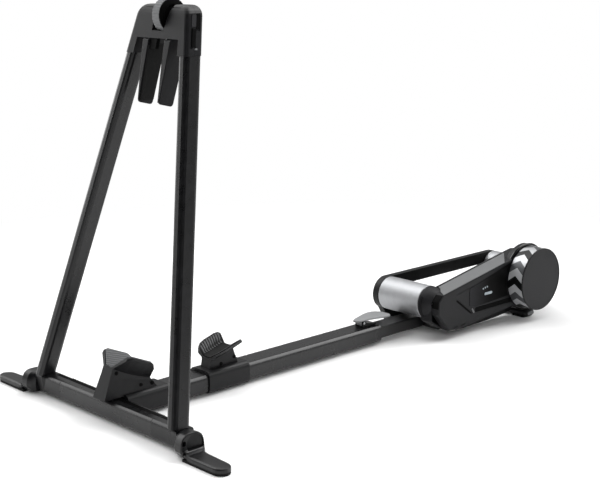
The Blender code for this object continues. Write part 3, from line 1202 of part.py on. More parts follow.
def build_trim():
    """Light band along the cover's straight top, with slanted ends at the nose and the guard."""
    run = math.hypot(FLYWHEEL_X - NOSE_TOP_X, FLYWHEEL_Z - NOSE_TOP_Z)
    slope = math.atan2(FLYWHEEL_Z - NOSE_TOP_Z, FLYWHEEL_X - NOSE_TOP_X)
    slope += math.asin((LOBE_RADIUS - NOSE_TOP_RADIUS) / run)
    rings = []
    for height in (GAP, GAP + TRIM_THICKNESS):
        rise = NOSE_TOP_RADIUS + height
        ring = []
        for distance, y in TRIM_PLAN:
            ring.append((NOSE_TOP_X - rise * math.sin(slope) + distance * math.cos(slope), -y,
                         NOSE_TOP_Z + rise * math.cos(slope) + distance * math.sin(slope)))
        rings.append(ring)
    make_object("housing_top_trim", skin(rings), LIGHT_GREY, REAR)


def build_electronics():
    """Circuit board behind the cover, black status panel with its lens, and power inlet."""
    wall = HOUSING_OUTER_Y - HOUSING_WALL + 0.0005
    board = rounded_rect(BOARD_HALF_LENGTH, BOARD_HALF_HEIGHT, 0.003, 2, BOARD_CENTRE)
    plate = prism(board, "Y", -wall + GAP, -wall + GAP + BOARD_THICKNESS)
    make_object("circuit_board", plate, BOARD_GREEN, REAR)
    lens = rounded_rect(LENS_HALF_LENGTH, LENS_HALF_HEIGHT, LENS_HALF_HEIGHT * 0.9, 4, (LENS_X, LENS_Z))
    outer = HOUSING_OUTER_Y + GAP
    panel = prism(PANEL_OUTLINE, "Y", -outer - PANEL_THICKNESS, -outer)
    make_object("status_panel", panel, BLACK_PLASTIC, REAR)
    outer += PANEL_THICKNESS + GAP
    make_object("status_lens", prism(lens, "Y", -outer - LENS_THICKNESS, -outer), LENS, REAR)
    back = REAR_ROLLER_X + ARM_END_RADIUS
    inlet = tube(rounded_rect(INLET_RADIUS, INLET_RADIUS, INLET_RADIUS * 0.99, 6, (INLET_Y, ROLLER_Z)),
                 rounded_rect(INLET_BORE, INLET_BORE, INLET_BORE * 0.99, 6, (INLET_Y, ROLLER_Z)),
                 "X", back - HOUSING_WALL - INLET_DEPTH, back)
    make_object("power_inlet", inlet, STEEL, REAR)


build_crossbar()
for SIDE, SIGN in (("left", -1.0), ("right", 1.0)):
    build_pivot_axle(SIDE, SIGN)
    build_knuckle(SIDE, SIGN)
    build_foot(SIDE, SIGN)
    BUTTON = pivot("button_slide_" + SIDE, (FOOT_CENTRE_X, SIGN * KNUCKLE_END, PIVOT_Z), STAND)
    build_fold_button(SIDE, SIGN, BUTTON)
    build_sole(SIDE, SIGN)
    build_leg(SIDE, SIGN)
build_head()
build_thumb_wheel()
for SIDE, SIGN in (("left", -1.0), ("right", 1.0)):
    SLIDE = pivot("paddle_slide_" + SIDE, (leg_x(WHEEL_Z), 0.0, WHEEL_Z), A_FRAME)
    build_paddle(SIDE, SIGN, SLIDE)
    build_paddle_pad(SIDE, SIGN, SLIDE)
build_beam()
build_cradle("front", FRONT_CRADLE, (BEAM_START_X + GAP, FRONT_COLLAR_END_X), GAP, STAND)
build_cradle("sliding", REAR_CRADLE, (REAR_COLLAR_START_X, REAR_COLLAR_END_X), RUNNING_GAP, CRADLE)
build_beam_lock()
build_lever()
build_chassis()
build_far_arm()
build_rollers()
build_housing()
build_flywheel()
build_belt_drive()
build_trim()
build_electronics()
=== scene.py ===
"""Looks of the wheel-on smart trainer: materials, moulded detail, studio light and camera.

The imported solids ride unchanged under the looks. Lengths are in metres and angles in degrees.
X runs towards the rear of the bicycle, Y to the rider's right and Z up. Pieces are drawn with
x as the distance behind the crossbar, and placed() adds FRONT, which is the crossbar's own X."""
import math

import bpy
import numpy as np
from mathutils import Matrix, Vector


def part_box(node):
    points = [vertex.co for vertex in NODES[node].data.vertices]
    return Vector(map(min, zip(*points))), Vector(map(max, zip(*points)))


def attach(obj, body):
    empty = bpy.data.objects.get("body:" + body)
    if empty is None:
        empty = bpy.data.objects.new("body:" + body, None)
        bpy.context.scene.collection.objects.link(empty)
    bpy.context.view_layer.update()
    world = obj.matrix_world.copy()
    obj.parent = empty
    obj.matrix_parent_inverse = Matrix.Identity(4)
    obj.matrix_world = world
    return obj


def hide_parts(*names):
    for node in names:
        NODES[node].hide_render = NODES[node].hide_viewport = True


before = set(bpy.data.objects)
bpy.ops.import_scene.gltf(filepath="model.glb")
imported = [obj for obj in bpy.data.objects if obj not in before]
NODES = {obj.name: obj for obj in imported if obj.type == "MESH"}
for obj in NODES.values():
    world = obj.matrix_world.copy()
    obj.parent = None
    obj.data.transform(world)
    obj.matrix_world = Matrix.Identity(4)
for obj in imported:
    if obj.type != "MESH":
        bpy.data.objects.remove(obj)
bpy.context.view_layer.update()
SCENE = bpy.context.scene

X, Y, Z = 0, 1, 2
LOW, HIGH = 0, 1
SIDES = (-1.0, 1.0)

# Places that the solids give.
FRONT = float(np.mean(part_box("front_crossbar"), axis=0)[X])


def middle(node):
    """The middle of a node's box at rest, the mean of its two corners, less FRONT."""
    return np.mean(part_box(node), axis=0) - (FRONT, 0.0, 0.0)


def end_of(node, end, axis):
    """Where a node's box ends at rest, at its low or high end along an axis, less FRONT along X."""
    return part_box(node)[end][axis] - (FRONT if axis == X else 0.0)


def placed(points):
    """Points behind the crossbar in the frame's own coordinates: x + FRONT."""
    return np.add(points, (FRONT, 0.0, 0.0))


FLYWHEEL = middle("flywheel")
FLYWHEEL_HALF = end_of("flywheel", HIGH, Y) - FLYWHEEL[Y]
FLYWHEEL_FACE = end_of("flywheel_face", LOW, Y)
GUARD_FACE = end_of("flywheel_guard", LOW, Y)
COVER_FACE = end_of("housing_cover", LOW, Y)
ROLLERS = (middle("front_roller"), middle("rear_roller"))
ARM_MIDDLE = middle("far_arm")[X]
ARM_FACE = end_of("far_arm", HIGH, Y)
REAR_FOOT_END = end_of("rear_foot", HIGH, Y)
THUMB_WHEEL = middle("thumb_wheel")
TUBE_TOP = end_of("front_crossbar", HIGH, Z)
BAR_HALF = end_of("front_crossbar", HIGH, X)
BAR_END = end_of("front_crossbar", HIGH, Y)
BEAM_HALF = end_of("main_beam", HIGH, Y)
BEAM_END = end_of("main_beam", HIGH, X)
COLLAR_END = end_of("front_cradle", HIGH, X)


# Materials.


def linear(code):
    """An sRGB hex colour as linear light: v / 12.92 up to 0.04045, and ((v + 0.055) / 1.055) ^ 2.4 above."""
    values = [int(code[i:i + 2], 16) / 255 for i in (0, 2, 4)]
    return [*(v / 12.92 if v <= 0.04045 else ((v + 0.055) / 1.055) ** 2.4 for v in values), 1.0]


def add(tree, kind, settings=(), inputs=(), out=0):
    """Add one shader node with its settings; an input is a value, or a socket to link. Gives one output."""
    made = tree.nodes.new(kind)
    for name, value in dict(settings).items():
        setattr(made, name, value)
    for name, value in dict(inputs).items():
        if isinstance(value, bpy.types.NodeSocket):
            tree.links.new(value, made.inputs[name])
        else:
            made.inputs[name].default_value = value
    return made.outputs[out] if made.outputs else made


GRAIN_SHARE = 0.5
SHADE_RANGE = (0.5, 1.0)
DRIFT_RANGE = (0.3, 0.7)
GLOSS_DRIFT = 0.04


def grained(name, dark, light, rough, grain, depth, patch=0.017, specular=0.5, metallic=0.0,
            stretch=(1, 1, 1)):
    """A skin with a grain of a size and depth in metres, whose shade and gloss drift over larger patches.

    The shade goes from dark to light as drift + GRAIN_SHARE * grain crosses SHADE_RANGE, and the roughness
    goes GLOSS_DRIFT to each side of rough as the drift crosses DRIFT_RANGE. Stretch draws the grain out."""
    made = bpy.data.materials.new(name)
    made.use_nodes = True
    tree = made.node_tree
    shader = tree.nodes["Principled BSDF"]
    where = add(tree, "ShaderNodeTexCoord", out="Object")
    drawn = add(tree, "ShaderNodeMapping", {}, {"Vector": where, "Scale": stretch})
    fine = add(tree, "ShaderNodeTexNoise", {}, {"Vector": drawn, "Scale": 1 / grain, "Detail": 3.0}, "Fac")
    drift = add(tree, "ShaderNodeTexNoise", {}, {"Vector": where, "Scale": 1 / patch, "Detail": 2.0}, "Fac")
    mixed = add(tree, "ShaderNodeMath", {"operation": "MULTIPLY_ADD"}, {0: fine, 1: GRAIN_SHARE, 2: drift})
    share = add(tree, "ShaderNodeMapRange", {},
                {"Value": mixed, "From Min": SHADE_RANGE[0], "From Max": SHADE_RANGE[1]})
    shade = add(tree, "ShaderNodeMix", {"data_type": "RGBA"},
                {"Factor": share, "A": linear(dark), "B": linear(light)}, "Result")
    gloss = add(tree, "ShaderNodeMapRange", {},
                {"Value": drift, "From Min": DRIFT_RANGE[0], "From Max": DRIFT_RANGE[1],
                 "To Min": rough - GLOSS_DRIFT, "To Max": rough + GLOSS_DRIFT})
    relief = add(tree, "ShaderNodeBump", {}, {"Height": fine, "Distance": depth})
    for socket, source in (("Base Color", shade), ("Roughness", gloss), ("Normal", relief)):
        tree.links.new(source, shader.inputs[socket])
    shader.inputs["Specular IOR Level"].default_value = specular
    shader.inputs["Metallic"].default_value = metallic
    return made


def overlaid(made, factor, code):
    """Mix a second colour over a finish's own: own * (1 - factor) + second * factor."""
    tree = made.node_tree
    colour = tree.nodes["Principled BSDF"].inputs["Base Color"]
    mixed = add(tree, "ShaderNodeMix", {"data_type": "RGBA"},
                {"Factor": factor, "A": colour.links[0].from_socket, "B": linear(code)}, "Result")
    tree.links.new(mixed, colour)


def banded(made, centre, scale, first, last, code):
    """Lay a second colour by the length of (place - centre) * scale: none of it at first, all at last.

    A scale of 1 along one axis measures from a plane, and along two from a line."""
    tree = made.node_tree
    where = add(tree, "ShaderNodeTexCoord", out="Object")
    off = add(tree, "ShaderNodeVectorMath", {"operation": "SUBTRACT"},
              {0: where, 1: placed(centre)}, "Vector")
    kept = add(tree, "ShaderNodeVectorMath", {"operation": "MULTIPLY"}, {0: off, 1: scale}, "Vector")
    far = add(tree, "ShaderNodeVectorMath", {"operation": "LENGTH"}, {0: kept}, "Value")
    share = add(tree, "ShaderNodeMapRange", {}, {"Value": far, "From Min": first, "From Max": last})
    overlaid(made, share, code)


def hatched(made, pitch, code, share):
    """Give a finish diagonal raised lines a pitch apart, which take a share of a second colour: a painted
    highlight on their crests.

    Bands straight across an axis would repeat every period / scale, which is the pitch, and the diagonal
    ones come 15% wider. They are turned by turn, in radians, and the ridges rise a tenth of the pitch."""
    tree = made.node_tree
    period, turn, rise = 0.314, (0.0, 0.6, 0.3), 0.1
    where = add(tree, "ShaderNodeMapping", {},
                {"Vector": add(tree, "ShaderNodeTexCoord", out="Object"), "Rotation": turn})
    lines = add(tree, "ShaderNodeTexWave", {"bands_direction": "DIAGONAL"},
                {"Vector": where, "Scale": period / pitch}, "Fac")
    overlaid(made, add(tree, "ShaderNodeMath", {"operation": "MULTIPLY"}, {0: lines, 1: share}), code)
    relief = add(tree, "ShaderNodeBump", {}, {"Height": lines, "Distance": pitch * rise})
    tree.links.new(relief, tree.nodes["Principled BSDF"].inputs["Normal"])


def chevroned(made, stops, around, first, slant):
    """Print chevrons about the flywheel's axis, around times in a turn. First and slant are angles.

    Chevron number = around * (angle - first) / 360 + around - slant / (360 / around) * |y| / half the rim,
    with y counted from the rim's middle. The fraction of that number picks a colour."""
    tree = made.node_tree
    apart = 360 / around
    where = add(tree, "ShaderNodeMapping", {},
                {"Vector": add(tree, "ShaderNodeTexCoord", out="Object"), "Location": -placed(FLYWHEEL)})
    split = add(tree, "ShaderNodeSeparateXYZ", {}, {"Vector": where}).node
    angle = add(tree, "ShaderNodeMath", {"operation": "ARCTAN2"},
                {0: split.outputs["Z"], 1: split.outputs["X"]})
    off = add(tree, "ShaderNodeMath", {"operation": "ABSOLUTE"}, {0: split.outputs["Y"]})
    back = add(tree, "ShaderNodeMath", {"operation": "MULTIPLY_ADD"},
               {0: off, 1: -slant / apart / FLYWHEEL_HALF, 2: around - first / apart})
    count = add(tree, "ShaderNodeMath", {"operation": "MULTIPLY_ADD"},
                {0: angle, 1: around / math.tau, 2: back})
    part = add(tree, "ShaderNodeMath", {"operation": "FRACT"}, {0: count})
    bands = add(tree, "ShaderNodeValToRGB", {}, {"Fac": part}, "Color")
    ramp = bands.node.color_ramp
    ramp.interpolation = "CONSTANT"
    while len(ramp.elements) < len(stops):
        ramp.elements.new(1.0)
    for element, (position, code) in zip(ramp.elements, stops):
        element.position = position
        element.color = linear(code)
    tree.links.new(bands, tree.nodes["Principled BSDF"].inputs["Base Color"])


# A lathe draws the grain out into rings round an axis along Y: fifty times as long as wide.
LATHE = (0.02, 1, 0.02)

# Polyester powder coat on steel tube: satin, with an orange peel of about 2 mm that breaks up its highlights.
COAT = grained("satin_powder_coat", "0a0a0b", "0e0e10",
               rough=0.30, grain=0.0020, depth=0.00002, specular=0.42)
# A duller black powder coat on the telescoping beam and chassis: the part that slides looks a shade darker.
DARK_COAT = grained("black_powder_coat", "0c0c0d", "101011",
                    rough=0.36, grain=0.0020, depth=0.00003, specular=0.45)
# The same coat on cast aluminium: the skin underneath is slightly uneven, so highlights wander.
CAST = grained("coated_cast_aluminium", "09090a", "0c0c0e",
               rough=0.33, grain=0.0026, depth=0.00004, patch=0.03, specular=0.36)
# Coarse wrinkle powder coat: 2.5 mm grains keep the far arm black and sparkling with small dots.
WRINKLE = grained("wrinkle_powder_coat", "060606", "101011",
                  rough=0.42, grain=0.0025, depth=0.00040, specular=0.2)
# Glass-filled nylon from a spark-eroded mould: real grain 0.3 mm, drawn at 1.2 mm so that it shows.
NYLON = grained("charcoal_moulded_nylon", "101011", "141416",
                rough=0.42, grain=0.0012, depth=0.00006, specular=0.22)
# The housing's shell is the same nylon from a duller mould, so that its big flat side stays an even charcoal.
SHELL = grained("housing_moulded_nylon", "1a1a1b", "202022",
                rough=0.46, grain=0.0012, depth=0.00005, specular=0.16)
# The flywheel's moulded face is one shade lighter than the shell, which sets the disc off from the housing.
FACE = grained("turned_face_nylon", "242425", "29292b",
               rough=0.50, grain=0.0012, depth=0.00004, specular=0.16)
# Plain black nylon for buttons, bushes and brackets: soft highlights that follow their edges.
BLACK = grained("black_moulded_nylon", "0a0a0b", "0e0e0f",
                rough=0.40, grain=0.0012, depth=0.00006, specular=0.22)
# Near black for the nose's fine seams, and painted shade laid in recesses, slots, grooves and screw holes,
# where little light comes, so that they read as holes.
SHADE_AND_SEAM_BLACK = grained("painted_shade_and_seam_black", "040404", "070707",
              rough=0.60, grain=0.0012, depth=0.00004, specular=0.05)
# Polished acetal: the guard's lip catches one thin sharp line of light.
GLOSSY = grained("black_gloss_acetal", "080809", "0b0b0c", rough=0.14, grain=0.0030, depth=0.00001)
# Light grey nylon, through-dyed and matt: the trim over the housing stands out from the charcoal. The same
# pale grey is laid as painted highlight on the rear foot's end caps and on the head's latches.
LIGHT = grained("light_grey_nylon_and_painted_glint", "626364", "6a6b6c",
                rough=0.44, grain=0.0012, depth=0.00005, specular=0.35)
# Pale grey nylon of the foot lever, the one light moulding on the beam.
PALE = grained("pale_grey_nylon", "7a7b7c", "838485",
               rough=0.44, grain=0.0012, depth=0.00004, specular=0.35)
# Moulded rubber: matt, with a little dust in its grain.
RUBBER = grained("black_moulded_rubber", "0c0c0c", "121212",
                 rough=0.78, grain=0.0014, depth=0.00012, specular=0.2)
# Turned on a lathe: rings 0.4 mm apart, drawn at 1 mm, run round the axis and draw the light into soft bands.
ALUMINIUM = grained("turned_aluminium", "a2a3a5", "aeafb1",
                    rough=0.52, grain=0.0010, depth=0.00002, metallic=1.0, stretch=LATHE)
# Turned and ground steel, brighter and sharper than the aluminium: shafts and bearings glint at their ends.
STEEL = grained("turned_steel", "8f9193", "a8aaac",
                rough=0.32, grain=0.0010, depth=0.00002, metallic=1.0, stretch=LATHE)
# Zinc-plated screws: a darker, bluish metal with a cloudy sheen.
ZINC = grained("zinc_plated_screw_steel", "55585a", "6c7073",
               rough=0.36, grain=0.0020, depth=0.00002, metallic=1.0)
# Black oxide on washers: nearly as dark as the nylon, told by its highlight alone.
BLACK_STEEL = grained("black_oxide_screw_steel", "0d0d0e", "131314",
                      rough=0.34, grain=0.0020, depth=0.00002, specular=0.4)
# Enamelled copper wire: 0.8 mm strands wound round the coil show as fine shiny rings.
COPPER = grained("enamelled_copper_wire", "8f4f2c", "c98257",
                 rough=0.34, grain=0.0008, depth=0.00020, metallic=1.0, stretch=LATHE)
# Green solder mask over copper, in two shades where the tracks run.
BOARD = grained("green_solder_mask", "10301c", "1c4a2b", rough=0.36, grain=0.0040, depth=0.00004, patch=0.006)
# Frosted polycarbonate over the status lamps: cool, pale and slightly cloudy.
LENS = grained("frosted_polycarbonate_lens", "8d989e", "a2adb3", rough=0.24, grain=0.0030, depth=0.00001)

# Turned steel rim, printed with six chevrons round it: each is a black and a grey band on the satin metal.
RIM = grained("chevron_printed_steel", "b6b7b9", "b6b7b9",
              rough=0.40, grain=0.0010, depth=0.00002, metallic=0.45, stretch=LATHE)
chevroned(RIM, ((0.0, "b6b7b9"), (0.25, "505153"), (0.5, "b6b7b9"), (0.75, "070708")),
          around=6.0, first=122, slant=11.5)

# The thumb wheel's tyre is mid-grey soft nylon, between cheeks and round a hub painted near black, darker
# than any nylon here: partly the wheel's own black, partly painted shade of the slot it turns in.
WHEEL = grained("mid_grey_soft_nylon", "6a6b6c", "737475",
                rough=0.50, grain=0.0012, depth=0.00006, specular=0.10)
banded(WHEEL, THUMB_WHEEL, scale=(0, 1, 0), first=0.0109, last=0.0113, code="020202")
banded(WHEEL, THUMB_WHEEL, scale=(1, 0, 1), first=0.0342, last=0.0338, code="020202")

# The smoked window is black, and runs into the cover's charcoal at its front. Its darkening towards the
# flywheel's guard is painted shade, the shade the guard casts beside it.
SHADE_DARKEST_X = 1.12
WINDOW = grained("smoked_window_with_painted_shade", "060606", "090909",
                 rough=0.45, grain=0.0030, depth=0.00002, specular=0.05)
banded(WINDOW, (SHADE_DARKEST_X, 0, 0), scale=(1, 0, 0), first=0.055, last=0.13, code="2b2b2d")

# The front trough is lined with a knurled grip: ridges 2 mm apart, drawn at 4.6 mm so that they show. Their
# crests are painted a lighter grey, a painted highlight.
HATCH = grained("knurled_grip_rubber", "353637", "3c3d3e",
                rough=0.46, grain=0.0014, depth=0.00006, specular=0.4)
hatched(HATCH, pitch=0.004, code="5c5d5f", share=0.8)
# The moulded ribs of the sliding cradle are the same rubber, smooth on top, so that each catches a soft line.
RIBBED = grained("ribbed_grip_rubber", "29292b", "303032",
                 rough=0.44, grain=0.0014, depth=0.00005, specular=0.4)

FINISHES = {
    COAT: ("front_crossbar", "main_beam", "leg_left", "leg_right"),
    CAST: ("leg_knuckle_left", "leg_knuckle_right", "foot_casting_left", "foot_casting_right"),
    DARK_COAT: ("inner_beam", "chassis_crossmember", "chassis_spine"),
    WRINKLE: ("far_arm",),
    SHADE_AND_SEAM_BLACK: ("status_panel",),
    NYLON: ("head_front", "head_rear", "clamp_paddle_left", "clamp_paddle_right", "front_cradle",
            "sliding_cradle"),
    SHELL: ("housing_inner", "housing_cover"),
    FACE: ("flywheel_face",),
    BLACK: ("fold_button_left", "fold_button_right", "beam_end_bush", "lever_bracket", "rear_foot",
            "flywheel_guard"),
    WHEEL: ("thumb_wheel",),
    LIGHT: ("housing_top_trim",),
    PALE: ("foot_lever",),
    RUBBER: ("foot_sole_left", "foot_sole_right", "paddle_pad_left", "paddle_pad_right",
             "sliding_cradle_tread", "rear_foot_sole_left", "rear_foot_sole_right", "drive_belt"),
    ALUMINIUM: ("front_roller", "rear_roller"),
    STEEL: ("pivot_axle_left", "pivot_axle_right", "clamp_spindle", "lever_pin", "beam_lock_pin",
            "front_axle", "front_bearing_left", "front_bearing_right", "rear_bearing_right",
            "rear_roller_shaft", "roller_pulley", "flywheel_shaft", "flywheel_pulley", "power_inlet"),
    RIM: ("flywheel",),
    HATCH: ("front_cradle_tread",),
    COPPER: ("brake_coil",),
    BOARD: ("circuit_board",),
    LENS: ("status_lens",),
}
for finish, names in FINISHES.items():
    for node in names:
        NODES[node].data.materials.clear()
        NODES[node].data.materials.append(finish)


# How pieces are shaped.
SHARP_ANGLE = 32
EDGE_SHARE = 0.45


def piece(name, body, finish, slot, *skins, loop=False):
    """A new piece that rides on a body. Each skin is m rings of n points, (m, n, 3): quads join neighbours.

    The two end rings are closed by flat faces, or joined to each other in a loop. The sum of
    (b - a) x (c - a) . (a - middle) over the quads tells which way they point, and turns them outwards."""
    points, faces, start = [], [], 0
    for rings in skins:
        rings = np.asarray(rings, float)
        m, n = rings.shape[:2]
        flat = placed(rings.reshape(-1, 3))
        row, col = np.meshgrid(np.arange(m if loop else m - 1), np.arange(n), indexing="ij")
        near, far, after = row * n, (row + 1) % m * n, (col + 1) % n
        quads = np.stack([near + col, near + after, far + after, far + col], -1).reshape(-1, 4)
        a, b, c, d = (flat[quads[:, k]] for k in range(4))
        volume = ((np.cross(b - a, c - a) + np.cross(c - a, d - a)) * (a - flat.mean(0))).sum()
        made = quads.tolist()
        if not loop:
            made += [np.arange(n)[::-1].tolist(), (np.arange(n) + (m - 1) * n).tolist()]
        faces += [[i + start for i in (face if volume > 0 else face[::-1])] for face in made]
        points.append(flat)
        start += m * n
    mesh = bpy.data.meshes.new(name)
    mesh.from_pydata(np.concatenate(points), [], faces)
    mesh.shade_smooth()
    mesh.set_sharp_from_angle(angle=math.radians(SHARP_ANGLE))
    mesh.materials.append(finish)
    made = bpy.data.objects.new(name, mesh)
    SCENE.collection.objects.link(made)
    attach(made, body)
    return made


def turned(centre, axis, profile, steps=40, hexed=()):
    """Rings about an axis: centre + h axis + r (cos a side + sin a up) for each radius r and height h.

    Rows named in hexed are hexagons: their radius is r cos 30 / cos((a mod 60) - 30)."""
    axis = np.asarray(axis, float) / np.linalg.norm(axis)
    upright = abs(axis[Z]) > 0.9
    side = np.cross(axis, (1.0, 0.0, 0.0) if upright else (0.0, 0.0, 1.0))
    side /= np.linalg.norm(side)
    angle = np.arange(steps) * math.tau / steps
    circle = np.cos(angle)[:, None] * side + np.sin(angle)[:, None] * np.cross(axis, side)
    radius, height = np.asarray(profile, float).T
    flats = math.cos(math.pi / 6) / np.cos(angle % (math.pi / 3) - math.pi / 6)
    shape = np.where(np.isin(np.arange(len(radius)), hexed)[:, None], flats, 1.0)
    return (np.asarray(centre, float) + height[:, None, None] * axis
            + (radius[:, None] * shape)[..., None] * circle)


SCREW_ROOT = 0.001
SCREW_ROWS = ((1.0, 0.35), (0.86, 0.78), (0.6, 1.0), (0.52, 1.0), (0.50, 0.2), (0.05, 0.2))
SOCKET_ROWS = (4, 5)
SCREW_STEPS = 24


def screw(centre, axis, radius, dome=0.45):
    """A button-head screw, turned: a low dome, dome * radius high, with a hexagon socket sunk into it.

    Each row is a share of the radius and of the dome's height, above a root sunk into the face."""
    rows = [(radius, -SCREW_ROOT)] + [(radius * out, radius * dome * up) for out, up in SCREW_ROWS]
    return turned(centre, axis, rows, SCREW_STEPS, SOCKET_ROWS)


def rounded(corners, radius, steps=5):
    """Corners eased by parabolas that start a radius along each edge: (1-t)^2 a + 2t(1-t) p + t^2 b.

    No parabola takes more than EDGE_SHARE of an edge."""
    p = np.asarray(corners, float)
    ends = []
    for edge in (np.roll(p, 1, 0) - p, np.roll(p, -1, 0) - p):
        reach = np.minimum(radius / np.linalg.norm(edge, axis=1), EDGE_SHARE)
        ends.append((p + edge * reach[:, None])[:, None])
    t = np.linspace(0, 1, steps)[None, :, None]
    return ((1 - t) ** 2 * ends[0] + 2 * t * (1 - t) * p[:, None] + t ** 2 * ends[1]).reshape(-1, 2)


def oblong(u, v, radius, steps=5):
    """A rectangle from u[0] to u[1] and from v[0] to v[1], with its corners rounded."""
    return rounded(((u[0], v[0]), (u[1], v[0]), (u[1], v[1]), (u[0], v[1])), radius, steps)


def arc(centre, radius, first, last, steps):
    """Points centre + radius (cos a, sin a), as the angle a goes from first to last."""
    angle = np.radians(np.linspace(first, last, steps))
    return np.asarray(centre) + radius * np.stack([np.cos(angle), np.sin(angle)], 1)


def plate(onto, outline, low, high, soft=0.0003):
    """An outline (u, v) carried from one height over a surface to another, eased in by soft at both ends."""
    outline = np.asarray(outline, float)
    arms = outline - outline.mean(0)
    inner = outline - arms / np.linalg.norm(arms, axis=1, keepdims=True) * soft
    rows = ((inner, low), (outline, low + soft), (outline, high - soft), (inner, high))
    return [np.stack(np.broadcast_arrays(*onto(o[:, 0], o[:, 1], h)), -1) for o, h in rows]


def side_face(side, out):
    """A flat face on one side of the stand: (u, v) are x and z on it, and a height h stands out from it."""
    return lambda u, v, h: (u, side * (out + h), v)


def top_face(side):
    """The tubes' top: u is x, v is the distance to one side, and a height h stands over it."""
    return lambda u, v, h: (u, side * v, TUBE_TOP + h)


def along(path, profile, up=(0.0, 0.0, 1.0)):
    """A closed profile (u, v) carried along a path: path + u side + v rise, with side = tangent x up."""
    path = np.asarray(path, float)
    tangent = np.gradient(path, axis=0)
    tangent /= np.linalg.norm(tangent, axis=1, keepdims=True)
    side = np.cross(tangent, up)
    side /= np.linalg.norm(side, axis=1, keepdims=True)
    rise = np.cross(side, tangent)
    profile = np.asarray(profile, float)
    return path[:, None] + profile[None, :, :1] * side[:, None] + profile[None, :, 1:] * rise[:, None]


# The roller unit. EASE rounds the corners of its small outlines, and of the painted shade over the tubes'
# groove.
ON_COVER = side_face(-1.0, -COVER_FACE)
RIGHTWARDS = (0, 1, 0)
LEFTWARDS = (0, -1, 0)
EASE = 0.002
SEAM_START = (0.9408, 0.1089)
SEAM_SLOPE = 0.1695


def seam(x):
    """The height of the straight seam between cover and trim: start + slope * (x - start)."""
    return SEAM_START[1] + (x - SEAM_START[0]) * SEAM_SLOPE


def status_window():
    """The smoked window over the status lamps, with painted shade darkening it towards the guard: up to the
    seam, and back to an arc round the guard.
    """
    front, foot, under_seam = 0.990, 0.0720, 0.0020
    low_corner = (1.012, 0.0655)
    back = arc(FLYWHEEL[[X, Z]], radius=0.0862, first=205, last=146, steps=14)
    outline = [(front, seam(front) - under_seam), (front, foot), low_corner, *back]
    panel = piece("status_window", "roller_unit", WINDOW, "black_plastic",
                  plate(ON_COVER, outline, low=0.0003, high=0.0011))
    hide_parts("status_panel")


def cover_shade_and_catch():
    """Painted shade sunk in the cover's band and slot, as near-black plates, and the pale catch at the slot's
    end.
    """
    band = oblong((1.0145, 1.1585), (0.0515, 0.0625), EASE)
    slot = rounded(((0.9396, 0.0921), (0.9431, 0.0953), (0.9992, 0.0541), (0.9957, 0.0509)), EASE)
    catch = rounded(((0.9985, 0.0620), (1.0025, 0.0640), (1.0105, 0.0520), (1.0065, 0.0500)), EASE)
    # Near-black plates in the band's and the slot's recesses: painted shade.
    piece("cover_band_shade", "roller_unit", SHADE_AND_SEAM_BLACK, "black_plastic",
          plate(ON_COVER, band, low=-0.0011, high=-0.0001, soft=0.0002))
    piece("cover_slot_shade", "roller_unit", SHADE_AND_SEAM_BLACK, "black_plastic",
          plate(ON_COVER, slot, low=-0.0011, high=-0.0002, soft=0.0002))
    piece("slot_catch", "roller_unit", LIGHT, "light_grey_plastic",
          plate(ON_COVER, catch, low=-0.0004, high=0.0016, soft=0.0006))


def status_lamps():
    """Small square lenses in a row: lens k is at first + k step."""
    first, step, count = np.array([1.0420, 0.1065]), np.array([0.0080, 0.0013]), 3
    half = 0.0022
    lenses = []
    for x, z in (first + step * k for k in range(count)):
        outline = oblong((x - half, x + half), (z - half, z + half), EASE)
        lenses.append(plate(ON_COVER, outline, low=0.0009, high=0.0017))
    piece("status_lamps", "roller_unit", LENS, "clear_lens", *lenses)


def side_sill():
    """The shell's moulded sill: at each x a rounded rectangle, from low to high and half to each side.

    Its share says how far it swells: low = foot - drop * share and half = least + spread * share."""
    x, share = np.transpose(((0.958, 0.0), (0.972, 1.0), (1.060, 1.0), (1.130, 0.90), (1.190, 0.70),
                             (1.203, 0.55)))
    foot, drop, least, spread, middle_y = 0.0225, 0.0140, 0.0010, 0.0150, -0.0812
    low = foot - drop * share
    half = least + spread * share
    high = np.interp(x, (0.958, 1.014, 1.203), (0.0280, 0.0300, 0.0420))
    u, v = oblong((-1, 1), (0, 1), 0.25, 4).T
    rings = np.stack(np.broadcast_arrays(x[:, None], middle_y + u * half[:, None],
                                         low[:, None] + v * (high - low)[:, None]), -1)
    piece("side_sill", "roller_unit", BLACK, "black_plastic", rings)


def flywheel_rings():
    """The guard's glossy lip and the bezel round the flywheel's face: profiles turned about its axis."""
    lip = ((0.0848, 0.0), (0.0862, 0.0012), (0.0864, 0.0030), (0.0852, 0.0042), (0.0838, 0.0030),
           (0.0838, 0.0012))
    bezel = ((0.0795, -0.0004), (0.0800, 0.0), (0.0795, 0.0008), (0.0776, 0.0008), (0.0772, -0.0004))
    inset, lifted, steps = 0.0060, 0.0001, 96
    piece("guard_rim", "roller_unit", GLOSSY, "black_plastic",
          turned((FLYWHEEL[X], GUARD_FACE + inset, FLYWHEEL[Z]), LEFTWARDS, lip, steps), loop=True)
    piece("face_bezel", "flywheel_set", BLACK, "black_plastic",
          turned((FLYWHEEL[X], FLYWHEEL_FACE - lifted, FLYWHEEL[Z]), LEFTWARDS, bezel, steps), loop=True)


def trim_lip():
    """A rounded lip under the trim: start + lift square to the slope + s slope, at one y."""
    slope = np.array([0.9857, 0.1685])
    start, lift, lip_y = np.array([0.898, 0.0915]), 0.0263, -0.0722
    s = np.array([0.030, 0.034, 0.15, 0.286, 0.290])
    line = start + lift * np.array([-slope[1], slope[0]]) + s[:, None] * slope
    profile = oblong((-0.0026, 0.0026), (-0.0008, 0.0022), 0.0012)
    piece("trim_lip", "roller_unit", NYLON, "charcoal_moulded_plastic",
          along(np.insert(line, 1, lip_y, axis=1), profile))


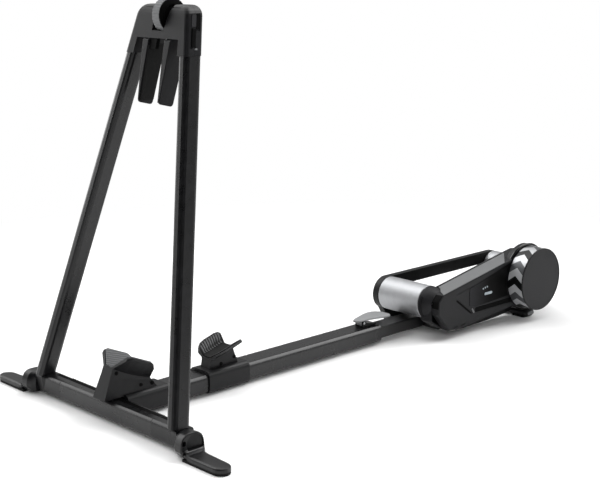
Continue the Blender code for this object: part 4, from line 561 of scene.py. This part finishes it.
def nose_details():
    """A near-black band that wraps the nose, painted shade of the undercut pocket under the cover's edge, and
    two fine seams that are arcs about the front roller's axis.
    """
    wrap = np.array(((0.8739, 0.0840), (0.8739, 0.0995), (0.8752, 0.1027), (0.8880, 0.1152),
                     (0.8874, 0.1160), (0.8742, 0.1033), (0.8730, 0.0998), (0.8730, 0.0840)))
    shade_band_y = (-0.0990, -0.1000, -0.1180, -0.1188)
    # Painted shade: a near-black band where the pocket under the cover's edge lies in shade.
    piece("nose_shade_band", "roller_unit", SHADE_AND_SEAM_BLACK, "black_plastic",
          np.stack([np.insert(wrap, 1, y, axis=1) for y in shade_band_y]))
    half = 0.0005
    thread = oblong((-half, half), (-half, half), 0.0003, 3)
    for label, y, radius in (("outer", -0.0708, 0.0406), ("inner", -0.0745, 0.0399)):
        path = np.insert(arc(ROLLERS[0][[X, Z]], radius, first=150, last=232, steps=30), 1, y, axis=1)
        piece("nose_seam_" + label, "roller_unit", SHADE_AND_SEAM_BLACK, "black_plastic", along(path, thread, RIGHTWARDS))


def bumpers_and_caps():
    """Rubber bumpers low on the cover, and pale plates in the rear foot's ends: a painted highlight where its
    end caps catch the light.
    """
    wedge = np.array(((-0.009, -0.004), (0.009, -0.001), (0.009, 0.002), (-0.009, -0.001)))
    piece("cover_bumpers", "roller_unit", RUBBER, "black_rubber",
          *[plate(ON_COVER, rounded(wedge + place, 0.001), low=-0.0002, high=0.0008)
            for place in ((0.938, 0.0285), (0.968, 0.0295))])
    # Painted highlight: pale plates where the rear foot's end caps glint.
    cap, sunk = oblong((1.2150, 1.2400), (0.0070, 0.0150), 0.004), 0.0004
    piece("rear_foot_glint_caps", "roller_unit", LIGHT, "light_grey_plastic",
          *[plate(side_face(side, REAR_FOOT_END - sunk), cap, low=-0.0006, high=0.0012) for side in SIDES])


def axle_fasteners():
    """On the far arm: a screw and a washer at each roller's axle, and three small screws spaced evenly."""
    axle_radius, small_radius, small_z, apart = 0.0075, 0.0040, 0.1145, 0.124
    axles = [(roller[X], ARM_FACE, roller[Z]) for roller in ROLLERS]
    smalls = [(ARM_MIDDLE + k * apart, ARM_FACE, small_z) for k in (-1, 0, 1)]
    washer = ((0.0125, -0.0004), (0.0125, 0.0010), (0.0118, 0.0014), (0.0080, 0.0014))
    piece("axle_screws", "roller_unit", ZINC, "bright_steel",
          *[screw(place, RIGHTWARDS, axle_radius) for place in axles],
          *[screw(place, RIGHTWARDS, small_radius) for place in smalls])
    piece("axle_washers", "roller_unit", BLACK_STEEL, "bright_steel",
          *[turned(place, RIGHTWARDS, washer) for place in axles])


# Tubes and knuckles. END_GAP keeps their pieces clear of each other, and GROOVE is the reach in x of the
# painted shade over the groove.
BEAM_BEVEL = 0.0053
BAR_BEVEL = 0.0048
END_GAP = 0.0005
PROUD = 0.0003
SUNK = 0.0014
BACK = 0.0011
GROOVE = (0.0020, 0.0114)


def corner_bevel(first, last, width):
    """A flat bevel, a width across each leg, straight between two (x, y) on the tubes' top corner.

    The tube lies on the left of its way. The strip stands PROUD of both faces, and its back is SUNK under
    them, BACK further from the corner."""
    profile = ((-width, PROUD), (PROUD, -width), (-SUNK, -width - BACK), (-width - BACK, -SUNK))
    return along(((*first, TUBE_TOP), (*last, TUBE_TOP)), rounded(profile, 0.0006, 3))


def groove_shade(side, first, last):
    """Painted shade over the groove along the tube's top: a near-black strip wider than the groove, between
    two distances to one side.
    """
    return plate(top_face(side), oblong(GROOVE, (first, last), EASE), low=-0.0012, high=PROUD, soft=0.0002)


def tube_bevels():
    """Bevels over the beam's and the crossbar's top corners: each carries one soft line of light."""
    front, back = COLLAR_END + END_GAP, BEAM_END - END_GAP
    end, beside_beam = BAR_END - END_GAP, BEAM_HALF + 2 * END_GAP
    piece("tube_bevels", "stand_base", COAT, "charcoal_powder_coat",
          corner_bevel((front, -BEAM_HALF), (back, -BEAM_HALF), BEAM_BEVEL),
          corner_bevel((back, BEAM_HALF), (front, BEAM_HALF), BEAM_BEVEL),
          corner_bevel((-BAR_HALF, end), (-BAR_HALF, -end), BAR_BEVEL),
          corner_bevel((BAR_HALF, -end), (BAR_HALF, -beside_beam), BAR_BEVEL),
          corner_bevel((BAR_HALF, beside_beam), (BAR_HALF, end), BAR_BEVEL))
    # A near-black strip over the crossbar's groove: painted shade.
    shade_end = BAR_END - 2 * END_GAP
    piece("crossbar_groove_shade", "stand_base", SHADE_AND_SEAM_BLACK, "black_plastic",
          groove_shade(1.0, -shade_end, shade_end))


def knuckle_details():
    """The knuckles carry the crossbar's bevel and the painted shade over its groove on to the legs, and fold
    with them.
    """
    start, bevel_end, shade_end = BAR_END + 2 * END_GAP, 0.2060, 0.1980
    bevels, shades_in_groove = [], []
    for side in SIDES:
        ends = [(-BAR_HALF, side * start), (-BAR_HALF, side * bevel_end)]
        bevels.append(corner_bevel(*(ends if side < 0 else ends[::-1]), BAR_BEVEL))
        shades_in_groove.append(groove_shade(side, start, shade_end))
    piece("knuckle_bevels", "a_frame", COAT, "coated_aluminium", *bevels)
    piece("knuckle_groove_shades", "a_frame", SHADE_AND_SEAM_BLACK, "black_plastic", *shades_in_groove)


def toe_bevels():
    """A flat bevel along the toe's front edge, and on round its tip as the angle a goes to 60 degrees.

    Round the tip x = middle - half cos a, y = tip + reach sin a and z = top - dip sin^2 a."""
    middle_x, half, top, dip = -0.0185, 0.0185, 0.0150, 0.0015
    inner, outer, tip, reach = 0.2900, 0.3585, 0.3590, 0.0200
    straight = np.linspace(inner, outer, 8)
    turn = np.radians(np.linspace(0, 60, 9))
    x = np.append(np.full_like(straight, middle_x - half), middle_x - half * np.cos(turn))
    y = np.append(straight, tip + reach * np.sin(turn))
    z = np.append(np.full_like(straight, top), top - dip * np.sin(turn) ** 2)
    profile = rounded(((-0.0039, -0.0002), (-0.0003, -0.0038), (-0.0010, -0.0052), (-0.0052, -0.0012)),
                      0.0006, 3)
    bevels = []
    for side in SIDES:
        edge = np.stack([x, side * y, z], 1)
        bevels.append(along(edge if side < 0 else edge[::-1], profile))
    piece("toe_bevels", "stand_base", COAT, "coated_aluminium", *bevels)


# The head, which leans back with the legs from LEG_FOOT up.
LEG_FOOT = 0.08
LEAN = 0.2354
HEAD_SIDE = 0.2311
HEAD_TAPER = 0.2079


def lean(z):
    """How far behind the crossbar the legs' middle line is at a height: LEAN * (z - foot)."""
    return LEAN * (z - LEG_FOOT)


def head_side(side):
    """The head's leaning side face: v is z, u is x - lean(z), and y = HEAD_SIDE - HEAD_TAPER * (z - foot)."""
    return lambda u, v, h: (lean(v) + u, side * (HEAD_SIDE - HEAD_TAPER * (v - LEG_FOOT) + h), v)


def latches():
    """The latch on each side of the head: a window, painted shade in the slot beside it and in the
    hook-shaped groove below, and a pale plate painted as the glint under that groove.
    """
    ease = 0.0015
    window = oblong((-0.0085, 0.0028), (0.7780, 0.8010), ease)
    groove = oblong((0.0038, 0.0112), (0.7735, 0.8035), ease)
    hook_shade = rounded(((-0.0070, 0.7400), (0.0036, 0.7386), (0.0018, 0.7450), (0.0030, 0.7735),
                    (-0.0070, 0.7760)), ease)
    glint_plate = rounded(((-0.0010, 0.7345), (0.0072, 0.7345), (0.0055, 0.7380), (0.0010, 0.7380)), ease)
    for label, side in (("left", -1.0), ("right", 1.0)):
        onto = head_side(side)
        piece("latch_window_" + label, "a_frame", FACE, "charcoal_moulded_plastic",
              plate(onto, window, low=-0.0018, high=-0.0006))
        # Near-black plates in the slot and in the hook-shaped groove: painted shade.
        piece("latch_slot_shade_" + label, "a_frame", SHADE_AND_SEAM_BLACK, "black_plastic",
              plate(onto, groove, low=-0.0018, high=-0.0004))
        piece("latch_hook_shade_" + label, "a_frame", SHADE_AND_SEAM_BLACK, "black_plastic",
              plate(onto, hook_shade, low=-0.0018, high=0.0003))
        # A pale plate under the groove: a painted highlight, the glint there.
        piece("latch_glint_" + label, "a_frame", LIGHT, "light_grey_plastic",
              plate(onto, glint_plate, low=-0.0004, high=0.0014))


def paddle_gap_shade():
    """Painted shade filling the gap between the paddles: a near-black block, a rectangle before the legs'
    middle line, at two heights.
    """
    front, deep, inner, outer, foot, top = 0.0185, 0.008, 0.003, 0.028, 0.7330, 0.7700
    corners = np.array(((0, inner), (deep, inner), (deep, outer), (0, outer)))
    piece("paddle_gap_shade", "a_frame", SHADE_AND_SEAM_BLACK, "black_plastic",
          [np.insert(corners + (lean(z) - front, 0.0), 2, z, axis=1) for z in (foot, top)])


# The cradles. The sliding cradle's ribs follow the sections of its solid, so that they lie on its tread.
# Ends are (x, z) at the trough's rear and front. WING_HEIGHTS has (share of the trough, share of the rise).
SEAT_ENDS = ((0.310, 0.092), (0.249, 0.0745))
TIP_ENDS = ((0.321, 0.112), (0.254, 0.0918))
SEAT_HALF = 0.0142
WING_HALF = 0.0450
TYRE_RADIUS = 0.336
WING_HEIGHTS = ((0.0, 0.60), (0.05, 0.82), (0.11, 0.95), (0.20, 1.0), (0.62, 1.0), (0.80, 0.94), (0.92, 0.76),
                (1.0, 0.50))
RIB_LIFT = 0.0018


def tread_line(share, side):
    """Three points from the wing's lip down to the trough, at a share of the trough's length.

    Seat and tip run straight between their ends, and the seat sags to the tyre's arc by
    chord^2 / 8 radius * 4 share (1 - share). The wing rises to its own height at that share."""
    (seat_x, seat_z), (tip_x, tip_z) = (np.add(first, np.subtract(last, first) * share)
                                        for first, last in (SEAT_ENDS, TIP_ENDS))
    seat_z -= math.dist(*SEAT_ENDS) ** 2 / (8 * TYRE_RADIUS) * 4 * share * (1 - share)
    height = np.interp(share, *zip(*WING_HEIGHTS))
    wing_y = SEAT_HALF + (WING_HALF - SEAT_HALF) * height
    wing_z = seat_z + (tip_z - seat_z) * height
    lip = (wing_y - 0.0066, wing_z - 0.0012)
    bend = (0.0195, seat_z + 0.0055)
    foot = (0.0140, seat_z + 0.0022)
    y, z = np.transpose((lip, bend, foot))
    x = seat_x + (tip_x - seat_x) * (z - seat_z) / (tip_z - seat_z)
    return np.stack([x, side * y, z + RIB_LIFT], 1)


def cradle_ribs():
    """Moulded ribs across the sliding cradle's tread, evenly spaced on both of its wings."""
    first, last, count = 0.12, 0.88, 9
    profile = oblong((-0.0021, 0.0021), (-0.0010, 0.0014), 0.0007, 3)
    piece("sliding_cradle_ribs", "cradle_slider", RIBBED, "black_rubber",
          *[along(tread_line(share, side), profile)
            for side in SIDES for share in np.linspace(first, last, count)])


CRADLE_SCREWS = (
    ("front_cradle", "stand_base",
     ((0.0040, 0.0161, 0.1005), (0.0620, 0.0178, 0.0630), (0.0905, 0.0182, 0.0612))),
    ("sliding_cradle", "cradle_slider", ((0.278, 0.0143, 0.0585), (0.3155, 0.0144, 0.0670))),
)


def cradle_screws():
    """A screw in a counterbore at each place (x, y, z) on the cradles' walls, on both sides, both near black:
    painted shade of the screw holes.
    """
    bore = ((0.0043, -0.0015), (0.0043, 0.0003), (0.0040, 0.0005))
    steps, lifted, radius, dome = 24, 0.0004, 0.0017, 0.2
    for name, body, places in CRADLE_SCREWS:
        spots = [(x, side * y, z, side) for x, y, z in places for side in SIDES]
        # Counterbores and screws in near black: painted shade of the holes.
        piece(name + "_counterbore_shade", body, SHADE_AND_SEAM_BLACK, "black_plastic",
              *[turned((x, y, z), (0, side, 0), bore, steps) for x, y, z, side in spots])
        piece(name + "_screws", body, SHADE_AND_SEAM_BLACK, "black_plastic",
              *[screw((x, y + side * lifted, z), (0, side, 0), radius, dome) for x, y, z, side in spots])


# The pieces, from the roller unit to the cradles.
status_window()
cover_shade_and_catch()
status_lamps()
side_sill()
flywheel_rings()
trim_lip()
nose_details()
bumpers_and_caps()
axle_fasteners()
tube_bevels()
knuckle_details()
toe_bevels()
latches()
paddle_gap_shade()
cradle_ribs()
cradle_screws()


# The studio.
FLOOR_HALF = 14.0
FLOOR_Z = -0.0005
SHADOWS_END = 1.1
WHITE_FROM = 1.9
WHITE = (1.0, 1.0, 1.0, 1.0)
# White screens stand round the set and over it, and the rest of the room is dim. Each row is a screen's
# direction, the cosines of the angles where its glow starts and where it is full, and its strength.
SCREENS = (((-0.26, 0.96, 0.10), 0.90, 0.985, 3.90), ((0.69, 0.71, 0.18), 0.82, 0.97, 0.34),
           ((0.93, -0.33, 0.18), 0.80, 0.97, 0.52), ((0.68, -0.73, 0.08), 0.80, 0.97, 0.25),
           ((0.68, -0.21, 0.70), 0.90, 0.970, 5.30), ((-0.21, 0.70, 0.68), 0.91, 0.970, 3.20),
           ((0.28, 0.70, 0.66), 0.92, 0.985, 0.90))
ROOM_LIGHT = 0.03
BAND_TOP = 0.06
CAMERA_PLACE = (-1.40935, -2.00749, 0.90335)
CAMERA_AIM = (0.67808, 0.70313, -0.21407)
SENSOR_WIDTH = 36.0
FOCAL_LENGTH = 76.34


def white_paper():
    """Matt paper that runs into the white backdrop past the object's shadows, for the camera and for gloss.

    Its white glow rises smoothly with the distance from the origin, from SHADOWS_END to WHITE_FROM."""
    paper = grained("matt_white_paper", "f4f4f4", "f6f6f6",
                    rough=0.95, grain=0.0040, depth=0.00002, patch=0.03, specular=0.1)
    tree = paper.node_tree
    away = add(tree, "ShaderNodeVectorMath", {"operation": "LENGTH"},
               {0: add(tree, "ShaderNodeTexCoord", out="Object")}, "Value")
    past = add(tree, "ShaderNodeMapRange", {"interpolation_type": "SMOOTHSTEP"},
               {"Value": away, "From Min": SHADOWS_END, "From Max": WHITE_FROM})
    rays = add(tree, "ShaderNodeLightPath").node
    seen = rays.outputs["Is Camera Ray"]
    for ray in ("Is Glossy Ray", "Is Transmission Ray"):
        seen = add(tree, "ShaderNodeMath", {"operation": "MAXIMUM"}, {0: seen, 1: rays.outputs[ray]})
    share = add(tree, "ShaderNodeMath", {"operation": "MULTIPLY"}, {0: past, 1: seen})
    white = add(tree, "ShaderNodeEmission", {}, {"Color": WHITE, "Strength": 1.0})
    blend = add(tree, "ShaderNodeMixShader", {},
                {0: share, 1: tree.nodes["Principled BSDF"].outputs[0], 2: white})
    tree.links.new(blend, tree.nodes["Material Output"].inputs["Surface"])
    return paper


def paper_floor():
    """A flat square floor, just under the soles."""
    far = FLOOR_HALF
    mesh = bpy.data.meshes.new("floor")
    mesh.from_pydata([(-far, -far, FLOOR_Z), (far, -far, FLOOR_Z), (far, far, FLOOR_Z), (-far, far, FLOOR_Z)],
                     [], [(0, 1, 2, 3)])
    floor = bpy.data.objects.new("floor", mesh)
    SCENE.collection.objects.link(floor)
    floor.data.materials.append(white_paper())


def lamp(name, where, target, size, power):
    """A soft box that faces a point."""
    data = bpy.data.lights.new(name, "AREA")
    data.shape = "RECTANGLE"
    data.size, data.size_y = size
    data.energy = power
    made = bpy.data.objects.new(name, data)
    made.location = where
    made.rotation_mode = "QUATERNION"
    made.rotation_quaternion = (Vector(target) - Vector(where)).to_track_quat("-Z", "Y")
    SCENE.collection.objects.link(made)
    return made


def studio_world():
    """The screens' glow for the object's light, and the white backdrop for what is seen.

    The camera sees the backdrop everywhere. Gloss and glass see it up to the horizon, and it fades out for
    them where a direction's z goes from 0 to BAND_TOP."""
    world = bpy.data.worlds.new("studio")
    SCENE.world = world
    world.use_nodes = True
    sky = world.node_tree
    sky.nodes.clear()
    rays = add(sky, "ShaderNodeLightPath").node
    facing = add(sky, "ShaderNodeTexCoord", out="Generated")
    total = ROOM_LIGHT
    for direction, start, full, strength in SCREENS:
        toward = add(sky, "ShaderNodeVectorMath", {"operation": "DOT_PRODUCT"},
                     {0: facing, 1: Vector(direction).normalized()}, "Value")
        glow = add(sky, "ShaderNodeMapRange", {"interpolation_type": "SMOOTHSTEP"},
                   {"Value": toward, "From Min": start, "From Max": full, "To Min": 0.0, "To Max": strength})
        total = add(sky, "ShaderNodeMath", {"operation": "ADD"}, {0: glow, 1: total})
    room = add(sky, "ShaderNodeBackground", {}, {"Color": WHITE, "Strength": total})
    backdrop = add(sky, "ShaderNodeBackground", {}, {"Color": WHITE, "Strength": 1.0})
    level = add(sky, "ShaderNodeSeparateXYZ", {}, {"Vector": facing}).node.outputs["Z"]
    band = add(sky, "ShaderNodeMapRange", {"interpolation_type": "SMOOTHSTEP"},
               {"Value": level, "From Min": 0.0, "From Max": BAND_TOP, "To Min": 1.0, "To Max": 0.0})
    gloss = add(sky, "ShaderNodeMath", {"operation": "MAXIMUM"},
                {0: rays.outputs["Is Glossy Ray"], 1: rays.outputs["Is Transmission Ray"]})
    mirrored = add(sky, "ShaderNodeMath", {"operation": "MULTIPLY"}, {0: gloss, 1: band})
    seen = add(sky, "ShaderNodeMath", {"operation": "MAXIMUM"},
               {0: rays.outputs["Is Camera Ray"], 1: mirrored})
    mix = add(sky, "ShaderNodeMixShader", {}, {0: seen, 1: room, 2: backdrop})
    add(sky, "ShaderNodeOutputWorld", {}, {"Surface": mix})


def photo_camera():
    """A camera at the photograph's viewing angle."""
    camera = bpy.data.objects.new("camera", bpy.data.cameras.new("camera"))
    SCENE.collection.objects.link(camera)
    camera.data.sensor_fit = "HORIZONTAL"
    camera.data.sensor_width = SENSOR_WIDTH
    camera.data.lens = FOCAL_LENGTH
    camera.location = placed(CAMERA_PLACE)
    camera.rotation_mode = "QUATERNION"
    camera.rotation_quaternion = Vector(CAMERA_AIM).to_track_quat("-Z", "Y")
    bpy.context.scene.camera = camera


paper_floor()
lamp("top", where=(0.3, 0.6, 3.0), target=(0.0, 0.1, 0.0), size=(3.2, 3.2), power=74.0)
# A wide front box opens the shadows on the paper, and is kept out of the gloss.
fill = lamp("front_fill", where=(-2.4, -2.6, 1.7), target=(0.0, 0.0, 0.0), size=(2.4, 1.6), power=56.0)
fill.visible_glossy = False
studio_world()
photo_camera()
bpy.context.scene.view_settings.view_transform = "Standard"
